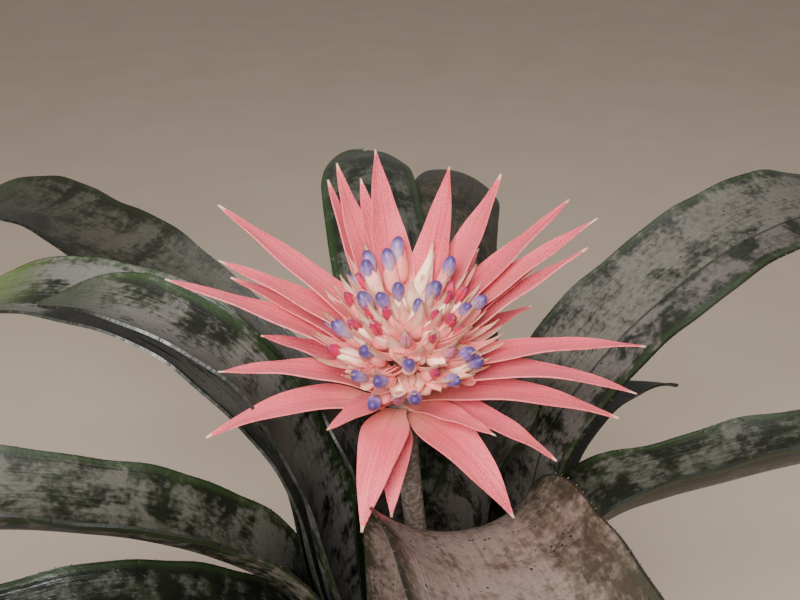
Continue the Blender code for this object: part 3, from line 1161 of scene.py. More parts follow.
    def build(self) -> None:
        """Builds every leaf in its node's place."""
        self.horn = SpineFinish().material("leaf_spines")
        for leaf in self.leaves:
            piece = self.build_leaf(leaf)
            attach(piece, BODY)
            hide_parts(leaf.name)
            log.info("%s: %d faces", piece.name, len(piece.data.polygons))


SILVER = LeafFinish()
HIGH_RIGHT = LeafFinish(
    crease=0.36, crease_side=-1.0, cover=0.70, blotches=1.9, bands=0.6, rim_width=0.16, pits=0.9,
)
LOW_RIGHT = LeafFinish(
    crease=0.25, crease_side=-1.0, cover=0.43, pits=0.9,
    powder=(0.068, 0.062, 0.048), edge_powder=(0.080, 0.060, 0.054),
)
# Painted shade: this leaf's tissue, powder, rim and tip are darkened because the leaf lies in shadow.
SHADED_SHORT_RIGHT = LeafFinish(
    tissue=(0.0055, 0.0045, 0.0028), bright_tissue=(0.011, 0.010, 0.005), powder=(0.030, 0.026, 0.017),
    cover=0.40, rim=(0.012, 0.013, 0.005), tip=(0.012, 0.010, 0.005),
)
# Painted shade: the far left leaf's tissue and powder are darker and browner because it stands back in
# shadow.
SHADED_FAR_LEFT = LeafFinish(
    tissue=(0.0085, 0.0080, 0.0042), bright_tissue=(0.014, 0.015, 0.007), powder=(0.043, 0.038, 0.026),
    cover=0.52, bands=1.3, rim=(0.013, 0.016, 0.006),
)
CURL = LeafFinish(
    cover=0.86, powder=(0.125, 0.115, 0.100), blotches=1.6, bands=0.5, streaks=0.8,
    rim=(0.025, 0.055, 0.010), tip=(0.085, 0.120, 0.028), tip_from=0.90,
    marks=(Mark(-0.004, 0.330, 0.013, 0.020, -0.55), Mark(0.016, 0.262, 0.0012, 0.014, -0.9)),
)
HIGH_LEFT = LeafFinish(
    cover=0.78, powder=(0.120, 0.110, 0.096), blotches=1.8, bands=1.2, streaks=0.8, bands_per_metre=75.0,
    rim=(0.022, 0.050, 0.010), rim_width=0.22, tip=(0.026, 0.036, 0.014), tip_from=0.93,
    marks=(Mark(-0.016, 0.270, 0.016, 0.035, -0.40), Mark(0.004, 0.262, 0.008, 0.008, -0.45)),
)
LOW_LEFT = LeafFinish(
    cover=0.46, powder=(0.072, 0.066, 0.052), edge_powder=(0.085, 0.066, 0.058), crease=0.25,
    bands=1.3, bands_per_metre=45.0,
    marks=(Mark(-0.010, 0.330, 0.020, 0.010, 0.5), Mark(-0.010, 0.285, 0.022, 0.012, 0.35)),
)
# Painted shade: a leaf darkened all over because it lies in shadow, used for the low front left leaf.
SHADED_DARK = LeafFinish(
    tissue=(0.0042, 0.0050, 0.0028), bright_tissue=(0.009, 0.012, 0.005), powder=(0.040, 0.042, 0.030),
    cover=0.25,
)
BACK = LeafFinish(
    cover=0.45, bands=1.2, powder=(0.062, 0.062, 0.048), rim=(0.020, 0.050, 0.008), rim_width=0.20,
)
# Painted shade: the back right leaf's brownish dark tissue and powder stand for the shadow at the back.
SHADED_BACK_BROWN = LeafFinish(
    tissue=(0.013, 0.010, 0.006), bright_tissue=(0.021, 0.018, 0.009), powder=(0.050, 0.037, 0.026),
    cover=0.42, bands=0.9, rim=(0.018, 0.019, 0.008),
)
DUSTY = LeafFinish(
    tissue=(0.036, 0.027, 0.018), bright_tissue=(0.055, 0.044, 0.027), powder=(0.150, 0.104, 0.085),
    cover=0.72, blotches=1.4, bands=0.4, streaks=0.2, rim=(0.022, 0.025, 0.012), base_bands=0.08, pits=1.0,
    marks=(Mark(0.028, 0.240, 0.012, 0.070, -0.35),),
)
INNER = LeafFinish(cover=0.60, bands=1.0, base_bands=0.9, powder=(0.080, 0.066, 0.056), pits=0.2)

LEAVES = (
    Leaf("leaf_inner_right", 30, 0, 0.150, 0.050, 42, 30, 0.215, 0.040, INNER),
    Leaf("leaf_inner_left", 165, 1, 0.150, 0.060, 60, 45, 0.220, 0.045, INNER),
    Leaf("leaf_back", 107, 2, 0.160, 0.060, 58, -20, 0.385, 0.057, BACK, sway=-15, arch=-0.045),
    Leaf("leaf_back_right", 82, 4, 0.160, 0.060, 50, -25, 0.378, 0.058, SHADED_BACK_BROWN, roll=20, arch=-0.045),
    Leaf(
        "leaf_right_high", 27, 5, 0.154, 0.060, 48, -17, 0.430, 0.058, HIGH_RIGHT,
        roll=10, fold=-12, crease=-0.36, arch=0.10,
    ),
    Leaf(
        "leaf_left_high", 177, 6, 0.154, 0.060, 61, -11, 0.332, 0.056, HIGH_LEFT,
        sway=-10, roll=10, ruffle=0.0008,
    ),
    Leaf("leaf_front", 283, 3, 0.154, 0.070, 14, -15, 0.380, 0.086, DUSTY, ruffle=0.0014),
    Leaf("leaf_left_curl", 168, 7, 0.149, 0.060, 52, -34, 0.385, 0.062, CURL, ruffle=0.0008),
    Leaf("leaf_left_far", 149, 8, 0.139, 0.060, 40, -10, 0.440, 0.062, SHADED_FAR_LEFT),
    Leaf(
        "leaf_right_low", 352, 9, 0.130, 0.060, 28, 6, 0.450, 0.056, LOW_RIGHT,
        roll=-20, fold=28, crease=-0.25,
    ),
    Leaf(
        "leaf_right_short", 40, 11, 0.121, 0.060, 21, -26, 0.253, 0.050, SHADED_SHORT_RIGHT,
        sway=-22, roll=-6, point=2.0,
    ),
    Leaf("leaf_left_low", 200, 10, 0.100, 0.060, 46, -30, 0.430, 0.064, LOW_LEFT, fold=25, crease=0.25),
    Leaf("leaf_front_left", 204, 13, 0.067, 0.060, 38, -55, 0.390, 0.062, SHADED_DARK),
    Leaf("leaf_back_low_left", 118, 12, 0.080, 0.060, 0, -25, 0.320, 0.062, SILVER),
    Leaf("leaf_back_low_right", 60, 14, 0.080, 0.060, 0, -25, 0.290, 0.062, SILVER),
    Leaf("leaf_front_right", 318, 15, 0.070, 0.060, -5, -30, 0.350, 0.066, SILVER),
)


# -------------------------------------------------------------------------------------------- bracts, flowers


@dataclass(frozen=True)
class Bract:
    """One primary bract.

    height is the share of the way up the head, and the tilts are degrees above the horizon.
    """

    azimuth: float
    height: float
    start_tilt: float
    end_tilt: float
    length: float
    width: float


@dataclass(frozen=True)
class Flower:
    """One open flower: where it looks out of the head, in degrees, its age, and how far out it reaches."""

    azimuth: float
    elevation: float
    kind: PetalKind
    reach: float = 1.0


@dataclass(frozen=True)
class Spike:
    """A short side branch of the head, by the direction it grows in, in degrees."""

    azimuth: float
    elevation: float


@dataclass
class FlowerHead:
    """The stem's head: long pink bracts below, and spikes of floral bracts and petals above them."""

    bracts: tuple[Bract, ...]
    spikes: tuple[Spike, ...]
    flowers: tuple[Flower, ...]
    heart: Vector = Vector((-0.0105, -0.0050, 0.3665))
    dome_radius: float = 0.035
    dome_height: float = 0.039
    base: Vector = Vector((-0.014, -0.004, 0.342))
    top: Vector = Vector((-0.008, -0.006, 0.404))
    base_radius: float = 0.0060
    top_radius: float = 0.0030
    standoff: float = 0.0012
    bract_thickness: float = 0.0006
    bract_steps: int = 24
    bract_rows: int = 84
    bract_columns: int = 14
    bract_channel: float = 0.030
    bract_base_width: float = 0.010
    bract_tip_width: float = 0.0007
    bract_fold: float = 9.0
    scale_rows: int = 14
    scale_columns: int = 6
    scale_width: float = 0.0150
    scale_channel: float = 0.0075
    scale_thickness: float = 0.0005
    scales: int = 120
    scale_softness: float = 0.002
    bract_softness: float = 0.0035
    bract_wave: float = 0.0003
    petal_lift: float = 0.003
    calyx_drop: float = 0.0175
    petal_room: float = 6.0

    def axis_at(self, height: float) -> tuple[Vector, float]:
        """The head's axis and its radius at a share of its height."""
        return mix(self.base, self.top, height), mix(self.base_radius, self.top_radius, height)

    def bract_half_width(self, bract: Bract, share: Array) -> Array:
        """Half a bract's width: it swells over the first third and tapers to a fine tip."""
        swell = mix(self.bract_base_width / bract.width, 1.0, ease(share / 0.34))
        taper = 1 - np.clip((share - 0.20) / 0.80, 0, 1) ** 1.55
        return np.maximum(self.bract_tip_width / 2, bract.width / 2 * swell * taper)

    def build_bract(self, name: str, bract: Bract) -> bpy.types.Object:
        """Builds one bract.

        Args:
            name: the piece's name.
            bract: its place and sizes.

        Returns:
            The finished bract.
        """
        rng = random.Random(name)
        centre, radius = self.axis_at(bract.height)
        azimuth = math.radians(bract.azimuth)
        outwards = Vector((math.cos(azimuth), math.sin(azimuth), 0))
        start = np.array(centre + outwards * (radius + self.standoff))
        twist = math.radians(rng.uniform(-9, 9))
        spine = Spine(
            start,
            bract.length,
            self.bract_steps,
            lambda share: np.full_like(share, azimuth),
            lambda share: np.radians(mix(bract.start_tilt, bract.end_tilt, share)),
            lambda share: twist * share,
        )
        share = np.linspace(0, 1, self.bract_rows + 1)
        across = np.linspace(-1, 1, self.bract_columns + 1)[None, :]
        _, _, inward = spine.directions(share)
        half = self.bract_half_width(bract, share)
        fold = np.full_like(share, math.radians(self.bract_fold)) * ease(share * 3)
        curve = np.full_like(share, 1 / self.bract_channel)
        gutter = Gutter(curve, fold, np.zeros_like(share), self.bract_softness)
        sideways, lift = gutter.offsets(across * half[:, None])
        wave = np.sin(share * rng.uniform(14, 24) + rng.uniform(0, 6))
        lift = lift + self.bract_wave * wave[:, None] * across
        points = on_spine(spine, share, inward, sideways, lift)
        piece = strap_sheet(name, self.bract_columns, self.bract_rows, points, self.bract_thickness)
        mark_strap(piece, lambda shares: self.bract_half_width(bract, shares), bract.length, rng.random())
        dress(piece, self.pink)
        smooth_faces(piece)
        return piece

    def dome(self, azimuth: float, elevation: float, reach: float = 1.0) -> tuple[Vector, Vector]:
        """A place on the dome of flowers.

        Args:
            azimuth: degrees from +X towards +Y.
            elevation: degrees above the horizon, seen from the dome's heart.
            reach: the share of the way from the heart to the dome.

        Returns:
            The place, and the direction from the heart to it.
        """
        turn, climb = math.radians(azimuth), math.radians(elevation)
        level = math.cos(climb)
        outwards = Vector((math.cos(turn) * level, math.sin(turn) * level, math.sin(climb)))
        radius = mix(self.dome_radius, self.dome_height, outwards.z**2)
        return self.heart + outwards * (radius * reach), outwards

    def _build_scale(
        self, name: str, start: Vector, first: Vector, last: Vector, size: tuple[float, float], tone: float
    ) -> bpy.types.Object:
        """One floral bract: a broad boat with a long point.

        Args:
            name: the part's name.
            start: its foot.
            first: the direction it grows in at its foot.
            last: the direction of its point.
            size: its length and width.
            tone: 0 is cream and 1 is pink.

        Returns:
            The floral bract.
        """
        length, width = size
        shares = np.linspace(0, 1, self.scale_rows + 1)
        along = unit(mix(np.array(first), np.array(last), shares[:, None]))
        axis = unit(np.array(start - self.heart) * (1, 1, 0.2) + 1e-6)
        hint = UP - axis * 0.55
        across_way = unit(np.cross(along, hint))
        inward = np.cross(across_way, along)
        middle = np.array(start) + running_sum((along[:-1] * length / self.scale_rows).T).T
        beyond = np.clip((shares - 0.30) / 0.70, 0, 1)
        half = width / 2 * mix(0.75, 1.0, ease(shares / 0.30)) * (1 - beyond) * (1 - 0.35 * beyond)
        half = np.maximum(half, 0.00022)
        across = np.linspace(-1, 1, self.scale_columns + 1)[None, :]
        curve = np.full_like(shares, 1 / self.scale_channel) * (1 - 0.4 * shares)
        gutter = Gutter(curve, np.full_like(shares, 0.5), np.zeros_like(shares), self.scale_softness)
        sideways, lift = gutter.offsets(across * half[:, None])
        beside = across_way[:, None] * sideways[..., None]
        points = middle[:, None] + beside + inward[:, None] * lift[..., None]
        piece = strap_sheet(name, self.scale_columns, self.scale_rows, points[:, ::-1], self.scale_thickness)
        mark_strap(piece, lambda s: np.interp(s, shares, half), length, tone)
        return dress(piece, self.cream)

    def _scale_at(
        self, name: str, azimuth: float, elevation: float, reach: float, rng: random.Random
    ) -> bpy.types.Object:
        """A floral bract that comes out of the dome.

        Args:
            name: the part's name.
            azimuth: degrees from +X towards +Y.
            elevation: degrees above the horizon.
            reach: the share of the way from the heart to the dome.
            rng: where its random draws come from.

        Returns:
            The floral bract.
        """
        upness = float(ease((elevation - 40) / 45))
        foot, outwards = self.dome(azimuth, elevation - 8, 0.42 * reach)
        tangent = Vector(UP) - outwards * outwards.z
        first = outwards + Vector(UP) * mix(0.25, 0.0, upness) + tangent * rng.uniform(-0.15, 0.15)
        last = outwards + Vector(UP) * mix(1.15, 0.15, upness) + tangent * rng.uniform(-0.05, 0.3)
        length = mix(0.0285, 0.0290, upness) * rng.uniform(0.85, 1.12)
        width = self.scale_width * mix(1.0, 0.85, upness) * rng.uniform(0.85, 1.1)
        tone = min(1.0, max(0.0, mix(0.50, 0.08, upness) + rng.uniform(-0.25, 0.25)))
        return self._build_scale(name, foot, first, last, (length, width), tone)

    def _calyx_template(self) -> bpy.types.Object:
        """One plump calyx along +Z, about a metre long, that holds the foot of the petals.

        Returns:
            The calyx.
        """
        bpy.ops.mesh.primitive_uv_sphere_add(segments=14, ring_count=9, radius=0.5)
        obj = bpy.context.object
        points = points_of(obj)
        share = points[:, 2] + 0.5
        round_way = np.arctan2(points[:, 1], points[:, 0])
        lobe = np.maximum(0, np.cos(3 * round_way))
        rim = ease((share - 0.55) / 0.45)
        points[:, :2] *= (mix(0.85, 1.0, rim) + 0.08 * lobe)[:, None]
        points[:, 2] += 0.5 + 0.30 * rim * lobe**2
        move_points(obj, points)
        mark_points(obj, SPOT, np.stack([round_way * 0.004, share * 0.012, np.zeros_like(share)], axis=1))
        mark_points(obj, SHARE, np.stack([round_way * 0.2, share * 0.6, np.zeros_like(share)], axis=1))
        select_only(obj)
        bpy.ops.object.shade_smooth()
        return dress(obj, self.cream)

    def _petal_template(self, kind: PetalKind) -> bpy.types.Object:
        """One petal bud along +Z: an egg of three rolled petals.

        Args:
            kind: the bud's age.

        Returns:
            The bud.
        """
        bpy.ops.mesh.primitive_uv_sphere_add(segments=18, ring_count=12, radius=0.5)
        obj = bpy.context.object
        unit_points = points_of(obj)
        share = unit_points[:, 2] + 0.5
        round_way = np.arctan2(unit_points[:, 1], unit_points[:, 0])
        lobes = 1 + 0.06 * np.cos(3 * round_way + 2.2 * share)
        swell = mix(0.66, 1.04, ease(share * 1.3)) * lobes
        crumple = kind.value.crumple * 0.13 * np.sin(5 * round_way + 9 * share) * np.sin(7 * share)
        length, width = PETAL_SIZES[kind]
        girth = width * (swell + crumple)
        points = unit_points * np.stack([girth, girth, np.full_like(share, length)], axis=1)
        points[:, 2] -= length / 2
        move_points(obj, points)
        mark_points(obj, SPOT, np.stack([round_way * width / 2, points[:, 2], np.zeros_like(share)], axis=1))
        mark_points(obj, SHARE, np.stack([round_way / math.pi, share, np.zeros_like(share)], axis=1))
        select_only(obj)
        bpy.ops.object.shade_smooth()
        return dress(obj, self.petals[kind])

    @staticmethod
    def _place_bud(
        template: bpy.types.Object, tip: Vector, aim: Vector, size: Vector, rng: random.Random
    ) -> bpy.types.Object:
        """A copy of a bud or calyx.

        Args:
            template: the bud or calyx to copy.
            tip: where its origin goes.
            aim: the direction of its +Z.
            size: its size on each axis, as a share of the template's.
            rng: where its random draws come from.

        Returns:
            The copy.
        """
        turned = aim.to_track_quat("Z", "Y").to_matrix().to_4x4()
        spin = Matrix.Rotation(rng.uniform(0, math.tau), 4, "Z")
        bud = stamp(template, Matrix.Translation(tip) @ turned @ spin @ Matrix.Diagonal((*size, 1)))
        marks = read_mark(bud, SHARE)
        marks[:, 2] = rng.random()
        mark_points(bud, SHARE, marks)
        return bud

    def _nearest_spike(self, azimuth: float, elevation: float) -> int:
        """Which spike a place on the dome belongs to.

        Args:
            azimuth: degrees from +X towards +Y.
            elevation: degrees above the horizon.

        Returns:
            The spike's number, from 0.
        """
        _, outwards = self.dome(azimuth, elevation)
        closeness = [outwards.dot(self.dome(spike.azimuth, spike.elevation)[1]) for spike in self.spikes]
        return closeness.index(max(closeness))

    def build_flowers(self) -> list[tuple[list[bpy.types.Object], list[bpy.types.Object]]]:
        """Makes the floral bracts, calyces and petals.

        Returns:
            Each spike's floral bracts with calyces, and its petals.
        """
        rng = random.Random("flowers")
        spikes = [([], []) for _ in self.spikes]
        buds = {kind: self._petal_template(kind) for kind in PetalKind}
        calyx = self._calyx_template()
        for index, flower in enumerate(self.flowers):
            greens, petals = spikes[self._nearest_spike(flower.azimuth, flower.elevation)]
            place, outwards = self.dome(flower.azimuth, flower.elevation, flower.reach)
            aim = (outwards + Vector(UP) * 0.45).normalized()
            grow = rng.uniform(0.92, 1.1)
            lean = aim + Vector((rng.uniform(-0.2, 0.2), rng.uniform(-0.2, 0.2), 0))
            tip, size = place + aim * self.petal_lift, Vector((grow, grow, grow))
            petals.append(self._place_bud(buds[flower.kind], tip, lean.normalized(), size, rng))
            calyx_size = Vector((0.0075, 0.0075, 0.0125)) * rng.uniform(0.9, 1.05)
            greens.append(self._place_bud(calyx, place - aim * self.calyx_drop, aim, calyx_size, rng))
            below = flower.elevation - 9
            greens.append(self._scale_at(f"scale_{index}", flower.azimuth, below, flower.reach, rng))
        for index in range(self.scales):
            climb = math.degrees(math.asin(mix(0.999, -0.30, (index + 0.5) / self.scales)))
            turn = math.degrees(index * GOLDEN_ANGLE) % 360
            _, outwards = self.dome(turn, climb)
            nearest = max(outwards.dot(self.dome(f.azimuth, f.elevation)[1]) for f in self.flowers)
            if nearest > math.cos(math.radians(self.petal_room)):
                continue
            greens, _ = spikes[self._nearest_spike(turn, climb)]
            greens.append(self._scale_at(f"filler_{index}", turn, climb, 1.0, rng))
            if index % 2:
                place, _ = self.dome(turn, climb, 0.62)
                size = Vector((0.0085, 0.0085, 0.0120)) * rng.uniform(0.9, 1.05)
                greens.append(self._place_bud(calyx, place - outwards * 0.006, outwards, size, rng))
        for template in (*buds.values(), calyx):
            remove(template)
        return spikes

    def build(self) -> None:
        """Builds the bracts, then each spike's floral bracts and petals."""
        self.pink = BractFinish().material("bract")
        self.cream = ScaleFinish().material("floral_bract")
        self.petals = {kind: kind.value.material(f"petal_{kind.name.lower()}") for kind in PetalKind}
        for index, bract in enumerate(self.bracts, 1):
            piece = self.build_bract(f"pink_bract_{index:02d}", bract)
            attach(piece, BODY)
            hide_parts(f"bract_{index:02d}")
            log.info("%s: %d faces", piece.name, len(piece.data.polygons))
        for index, (greens, petals) in enumerate(self.build_flowers(), 1):
            node = f"flower_cluster_{index:02d}"
            for name, parts in ((f"floral_bracts_{index:02d}", greens), (f"petals_{index:02d}", petals)):
                if not parts:
                    continue
                piece = joined(name, parts)
                smooth_faces(piece, 50)
                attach(piece, BODY)
                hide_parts(node)
                log.info("%s: %d faces", piece.name, len(piece.data.polygons))


BRACTS = (
    Bract(267, -0.14, 0, -40, 0.047, 0.016),
    Bract(310, -0.10, 12, -42, 0.067, 0.025),
    Bract(199, -0.06, 25, -26, 0.079, 0.021),
    Bract(344, 0.00, 22, -16, 0.087, 0.021),
    Bract(257, -0.05, 10, -46, 0.062, 0.022),
    Bract(333, -0.06, 18, -32, 0.067, 0.019),
    Bract(190, 0.05, 30, -4, 0.073, 0.020),
    Bract(347, 0.07, 30, -18, 0.094, 0.021),
    Bract(236, 0.05, 20, 4, 0.045, 0.015),
    Bract(316, -0.02, 16, 0, 0.046, 0.015),
    Bract(95, 0.06, 30, 10, 0.075, 0.020),
    Bract(351, 0.13, 32, -2, 0.097, 0.018),
    Bract(178, 0.13, 30, 12, 0.057, 0.018),
    Bract(60, 0.14, 35, 15, 0.075, 0.020),
    Bract(128, 0.14, 35, 15, 0.068, 0.020),
    Bract(183, 0.20, 35, 20, 0.100, 0.022),
    Bract(15, 0.19, 35, 15, 0.057, 0.015),
    Bract(172, 0.26, 36, 20, 0.076, 0.019),
    Bract(3, 0.25, 42, 34, 0.086, 0.018),
    Bract(176, 0.32, 40, 22, 0.082, 0.019),
    Bract(11, 0.31, 42, 36, 0.083, 0.018),
    Bract(144, 0.44, 54, 70, 0.072, 0.018),
    Bract(5, 0.37, 44, 34, 0.091, 0.019),
    Bract(168, 0.38, 42, 36, 0.093, 0.021),
    Bract(138, 0.50, 55, 72, 0.074, 0.019),
    Bract(14, 0.43, 44, 42, 0.085, 0.020),
    Bract(128, 0.56, 58, 72, 0.062, 0.017),
    Bract(57, 0.56, 60, 76, 0.066, 0.020),
    Bract(30, 0.49, 54, 64, 0.074, 0.023),
    Bract(117, 0.62, 60, 78, 0.069, 0.020),
)

VIOLET, CRIMSON, FADED = PetalKind.VIOLET, PetalKind.CRIMSON, PetalKind.FADED

FLOWERS = (
    Flower(156, 64, VIOLET, 1.12),
    Flower(187, 67, VIOLET, 1.10),
    Flower(112, 76, VIOLET, 1.16),
    Flower(150, 76, VIOLET, 1.08),
    Flower(356, 68, VIOLET, 1.12),
    Flower(254, 67, VIOLET),
    Flower(311, 65, VIOLET),
    Flower(279, 57, VIOLET),
    Flower(214, 54, VIOLET),
    Flower(236, 58, VIOLET),
    Flower(327, 45, VIOLET),
    Flower(342, 42, VIOLET, 1.10),
    Flower(203, 30, VIOLET),
    Flower(239, 25, VIOLET),
    Flower(270, 22, VIOLET),
    Flower(314, 20, VIOLET),
    Flower(320, 11, VIOLET),
    Flower(250, 8, VIOLET),
    Flower(301, 5, VIOLET),
    Flower(273, -3, VIOLET),
    Flower(247, -11, VIOLET),
    Flower(231, 6, VIOLET, 0.95),
    Flower(301, 25, FADED, 0.95),
    Flower(180, 58, CRIMSON),
    Flower(197, 48, CRIMSON),
    Flower(230, 49, CRIMSON),
    Flower(248, 51, CRIMSON),
    Flower(241, 42, CRIMSON),
    Flower(221, 37, CRIMSON),
    Flower(294, 49, CRIMSON),
    Flower(306, 44, CRIMSON),
    Flower(316, 57, CRIMSON),
    Flower(341, 53, CRIMSON),
    Flower(287, 37, CRIMSON),
    Flower(212, 17, CRIMSON, 1.05),
    Flower(287, 14, CRIMSON),
    Flower(312, 35, CRIMSON),
    Flower(340, 62, CRIMSON, 0.95),
    Flower(267, 38, FADED),
    Flower(262, -8, FADED, 0.90),
    Flower(258, -24, FADED, 0.62),
    Flower(30, 50, VIOLET),
    Flower(62, 38, VIOLET),
    Flower(95, 55, VIOLET),
    Flower(120, 35, CRIMSON),
    Flower(150, 45, VIOLET),
    Flower(20, 20, CRIMSON),
    Flower(85, 15, VIOLET),
    Flower(170, 15, VIOLET),
    Flower(130, 10, CRIMSON),
)

PETAL_SIZES = {VIOLET: (0.0115, 0.0056), CRIMSON: (0.0110, 0.0042), FADED: (0.0110, 0.0054)}

SPIKES = (
    Spike(222, 20),
    Spike(253, 14),
    Spike(286, 14),
    Spike(317, 20),
    Spike(200, 42),
    Spike(246, 42),
    Spike(292, 42),
    Spike(335, 46),
    Spike(90, 40),
    Spike(270, 88),
)


# ------------------------------------------------------------------------------------- stem, mix, pot, studio


@dataclass
class FlowerStem:
    """The flower stem and the head's axis, grown as one piece."""

    head: FlowerHead
    mix_top: float = 0.118
    depth: float = 0.030
    foot_radius: float = 0.009
    radius: float = 0.0052
    steps: int = 6
    sides: int = 28

    def build(self) -> None:
        """Builds the stem in its node's place."""
        base, top = self.head.base, self.head.top
        lean = Vector((base.x * 0.6, base.y * 0.6, base.z - 0.060))
        stations = (
            (Vector((0, 0, self.mix_top - self.depth)), self.foot_radius),
            (Vector((0, 0, self.mix_top + 0.004)), self.foot_radius),
            (Vector((0, 0, self.mix_top + 0.022)), self.head.base_radius),
            (Vector((0, 0, self.mix_top + 0.080)), self.radius),
            (lean, self.radius),
            (base, self.head.base_radius),
            (mix(base, top, 0.66), self.head.top_radius),
        )
        rings = []
        for (low, low_radius), (high, high_radius) in zip(stations, stations[1:]):
            for share in np.arange(self.steps) / self.steps:
                rings.append((mix(low, high, float(share)), mix(low_radius, high_radius, ease(share))))
        rings.append(stations[-1])
        piece = extrude_rings("mealy_stem", self.sides, rings)
        dress(piece, MealyFinish().material("stem"))
        smooth_faces(piece)
        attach(piece, BODY)
        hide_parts("flower_stem")
        log.info("%s: %d faces", piece.name, len(piece.data.polygons))


@dataclass
class Pot:
    """A plain round nursery pot with a rim band and drain holes."""

    height: float = 0.128
    rim_radius: float = 0.080
    foot_radius: float = 0.058
    wall: float = 0.0025
    floor: float = 0.003
    band: float = 0.022
    step: float = 0.003
    holes: int = 6
    hole_radius: float = 0.005
    hole_circle: float = 0.040
    edge: float = 0.0007
    sides: int = 144

    def inner_radius(self, height: float) -> float:
        """The pot's inside radius at a height."""
        low, high = self.foot_radius - self.wall, self.rim_radius - self.step - self.wall
        return mix(low, high, (height - self.floor) / (self.height - self.floor))

    def build(self) -> None:
        """Builds the pot in its node's place."""
        band_low = self.height - self.band
        inner_rim = self.rim_radius - self.step - self.wall
        profile = (
            (self.foot_radius - 0.004, 0.0012),
            (self.foot_radius - 0.003, 0),
            (self.foot_radius, 0),
            (self.rim_radius - self.step - 0.0012, band_low),
            (self.rim_radius - 0.0016, band_low),
            (self.rim_radius, self.height),
            (inner_rim, self.height),
            (self.foot_radius - self.wall, self.floor),
        )
        rings = [(Vector((0, 0, height)), radius) for radius, height in profile]
        piece = extrude_rings("round_pot", self.sides, rings)
        apply_modifier(
            piece, "BEVEL", width=self.edge, segments=3, limit_method="ANGLE", angle_limit=math.radians(30)
        )
        for index in range(self.holes):
            angle = math.tau * index / self.holes
            place = (self.hole_circle * math.cos(angle), self.hole_circle * math.sin(angle), 0)
            bpy.ops.mesh.primitive_cylinder_add(
                vertices=32, radius=self.hole_radius, depth=0.02, location=place
            )
            cutter = bpy.context.object
            apply_modifier(piece, "BOOLEAN", operation="DIFFERENCE", object=cutter)
            remove(cutter)
        dress(piece, PlasticFinish().material("pot"))
        smooth_faces(piece, 32)
        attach(piece, BODY)
        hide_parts("pot")
        log.info("%s: %d faces", piece.name, len(piece.data.polygons))


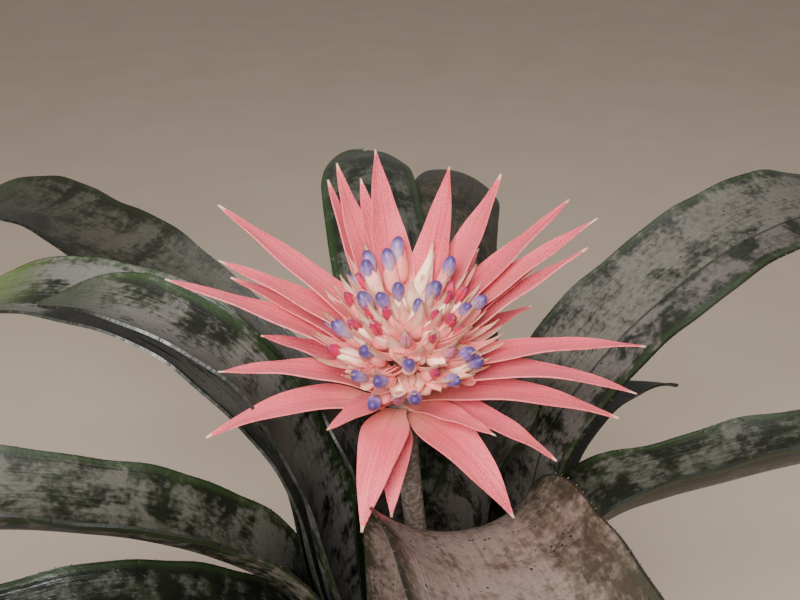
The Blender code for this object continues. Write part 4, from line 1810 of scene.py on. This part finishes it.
@dataclass
class PottingMix:
    """Bark chips heaped in the pot round the leaves' feet."""

    pot: Pot
    edge_height: float = 0.114
    crown: float = 0.004
    chips: int = 420
    clear_radius: float = 0.020
    reach_radius: float = 0.069

    def _heap(self) -> bpy.types.Object:
        """The body of the mix, under the loose chips.

        Returns:
            The body.
        """
        profile = (
            (self.pot.foot_radius - 0.006, self.pot.floor + 0.0004),
            (self.pot.inner_radius(0.0094) - 0.0012, 0.0094),
            (self.pot.inner_radius(self.edge_height) - 0.0012, self.edge_height - 0.001),
            (0.060, self.edge_height),
            (0.050, self.edge_height + self.crown * 0.35),
            (0.035, self.edge_height + self.crown * 0.7),
            (0.020, self.edge_height + self.crown * 0.9),
            (0.006, self.edge_height + self.crown),
        )
        rings = [(Vector((0, 0, height)), radius) for radius, height in profile]
        heap = extrude_rings("bark_heap", 96, rings)
        mark_points(heap, SHARE, np.zeros((len(heap.data.vertices), 3)))
        return heap

    def _chip_template(self, rng: random.Random) -> bpy.types.Object:
        """One flat, uneven chip about a metre long, before it is scaled.

        Args:
            rng: where its random draws come from.

        Returns:
            The chip.
        """
        bpy.ops.mesh.primitive_ico_sphere_add(subdivisions=1, radius=0.5)
        obj = bpy.context.object
        points = points_of(obj)
        jitter = np.array([[rng.uniform(0.7, 1.25) for _ in range(3)] for _ in points])
        move_points(obj, points * jitter * (1.0, 0.62, 0.34))
        return obj

    def build(self) -> None:
        """Builds the mix in its node's place."""
        rng = random.Random("bark")
        bark = BarkFinish().material("bark")
        parts = [self._heap()]
        templates = [self._chip_template(rng) for _ in range(4)]
        for index in range(self.chips):
            radius = math.sqrt(rng.uniform(self.clear_radius**2, self.reach_radius**2))
            angle = rng.uniform(0, math.tau)
            size = rng.uniform(0.005, 0.013) if radius < 0.066 else rng.uniform(0.004, 0.008)
            reach = min(1.0, radius / 0.060)
            lift = self.edge_height + self.crown * (1 - reach**2) + rng.uniform(-0.0004, 0.0016)
            place = Matrix.Translation((radius * math.cos(angle), radius * math.sin(angle), lift))
            spin = Matrix.Rotation(rng.uniform(0, math.tau), 4, "Z")
            turn = spin @ Matrix.Rotation(rng.uniform(-0.5, 0.5), 4, "X")
            chip = stamp(templates[index % len(templates)], place @ turn @ Matrix.Scale(size, 4))
            mark_points(chip, SHARE, np.tile((0, 0, rng.random()), (len(chip.data.vertices), 1)))
            parts.append(chip)
        for template in templates:
            remove(template)
        piece = joined("bark_mix", parts)
        dress(piece, bark)
        smooth_faces(piece, 25)
        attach(piece, BODY)
        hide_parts("potting_mix")
        log.info("%s: %d faces", piece.name, len(piece.data.polygons))


@dataclass
class Studio:
    """The camera, a plain pale floor and plain soft light."""

    eye: Vector = Vector((-0.0141, -0.3014, 0.5468))
    pitch: float = 62.0
    lens: float = 37.0
    floor_size: float = 14.0
    world_strength: float = 0.32
    aim: Vector = Vector((-0.010, 0.0, 0.36))

    def _area_light(self, name: str, place: Vector, size: float, power: float) -> None:
        """Adds a square light that faces the plant.

        Args:
            name: the light's name.
            place: where it stands.
            size: its side in metres.
            power: its power in watts.
        """
        bpy.ops.object.light_add(type="AREA", location=place)
        lamp = bpy.context.object
        lamp.name = name
        lamp.data.size = size
        lamp.data.energy = power
        lamp.rotation_euler = (self.aim - place).to_track_quat("-Z", "Y").to_euler()

    def build(self) -> None:
        """Sets up the camera, the lights, the world and the floor."""
        bpy.ops.object.camera_add(location=self.eye, rotation=(math.radians(self.pitch), 0, 0))
        camera = bpy.context.object
        camera.data.lens = self.lens
        camera.data.sensor_width = 36.0
        camera.data.clip_start = 0.01
        bpy.context.scene.camera = camera
        self._area_light("front_light", Vector((-0.10, -0.38, 0.68)), 0.24, 6.4)
        self._area_light("top_light", Vector((0.3, -0.3, 1.9)), 1.6, 14.0)
        world = bpy.data.worlds.new("studio")
        world.use_nodes = True
        sky = world.node_tree.nodes["Background"]
        sky.inputs["Color"].default_value = (0.95, 0.93, 0.90, 1)
        sky.inputs["Strength"].default_value = self.world_strength
        bpy.context.scene.world = world
        bpy.ops.mesh.primitive_plane_add(size=self.floor_size)
        floor = bpy.context.object
        floor.name = "floor"
        dress(floor, FloorFinish().material("floor"))


def main() -> None:
    """Builds every piece round the frame."""
    logging.basicConfig(level=logging.INFO, format="%(message)s")
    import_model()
    head = FlowerHead(BRACTS, SPIKES, FLOWERS)
    pot = Pot()
    Studio().build()
    Rosette(LEAVES).build()
    head.build()
    FlowerStem(head).build()
    PottingMix(pot).build()
    pot.build()


if __name__ == "__main__":
    main()
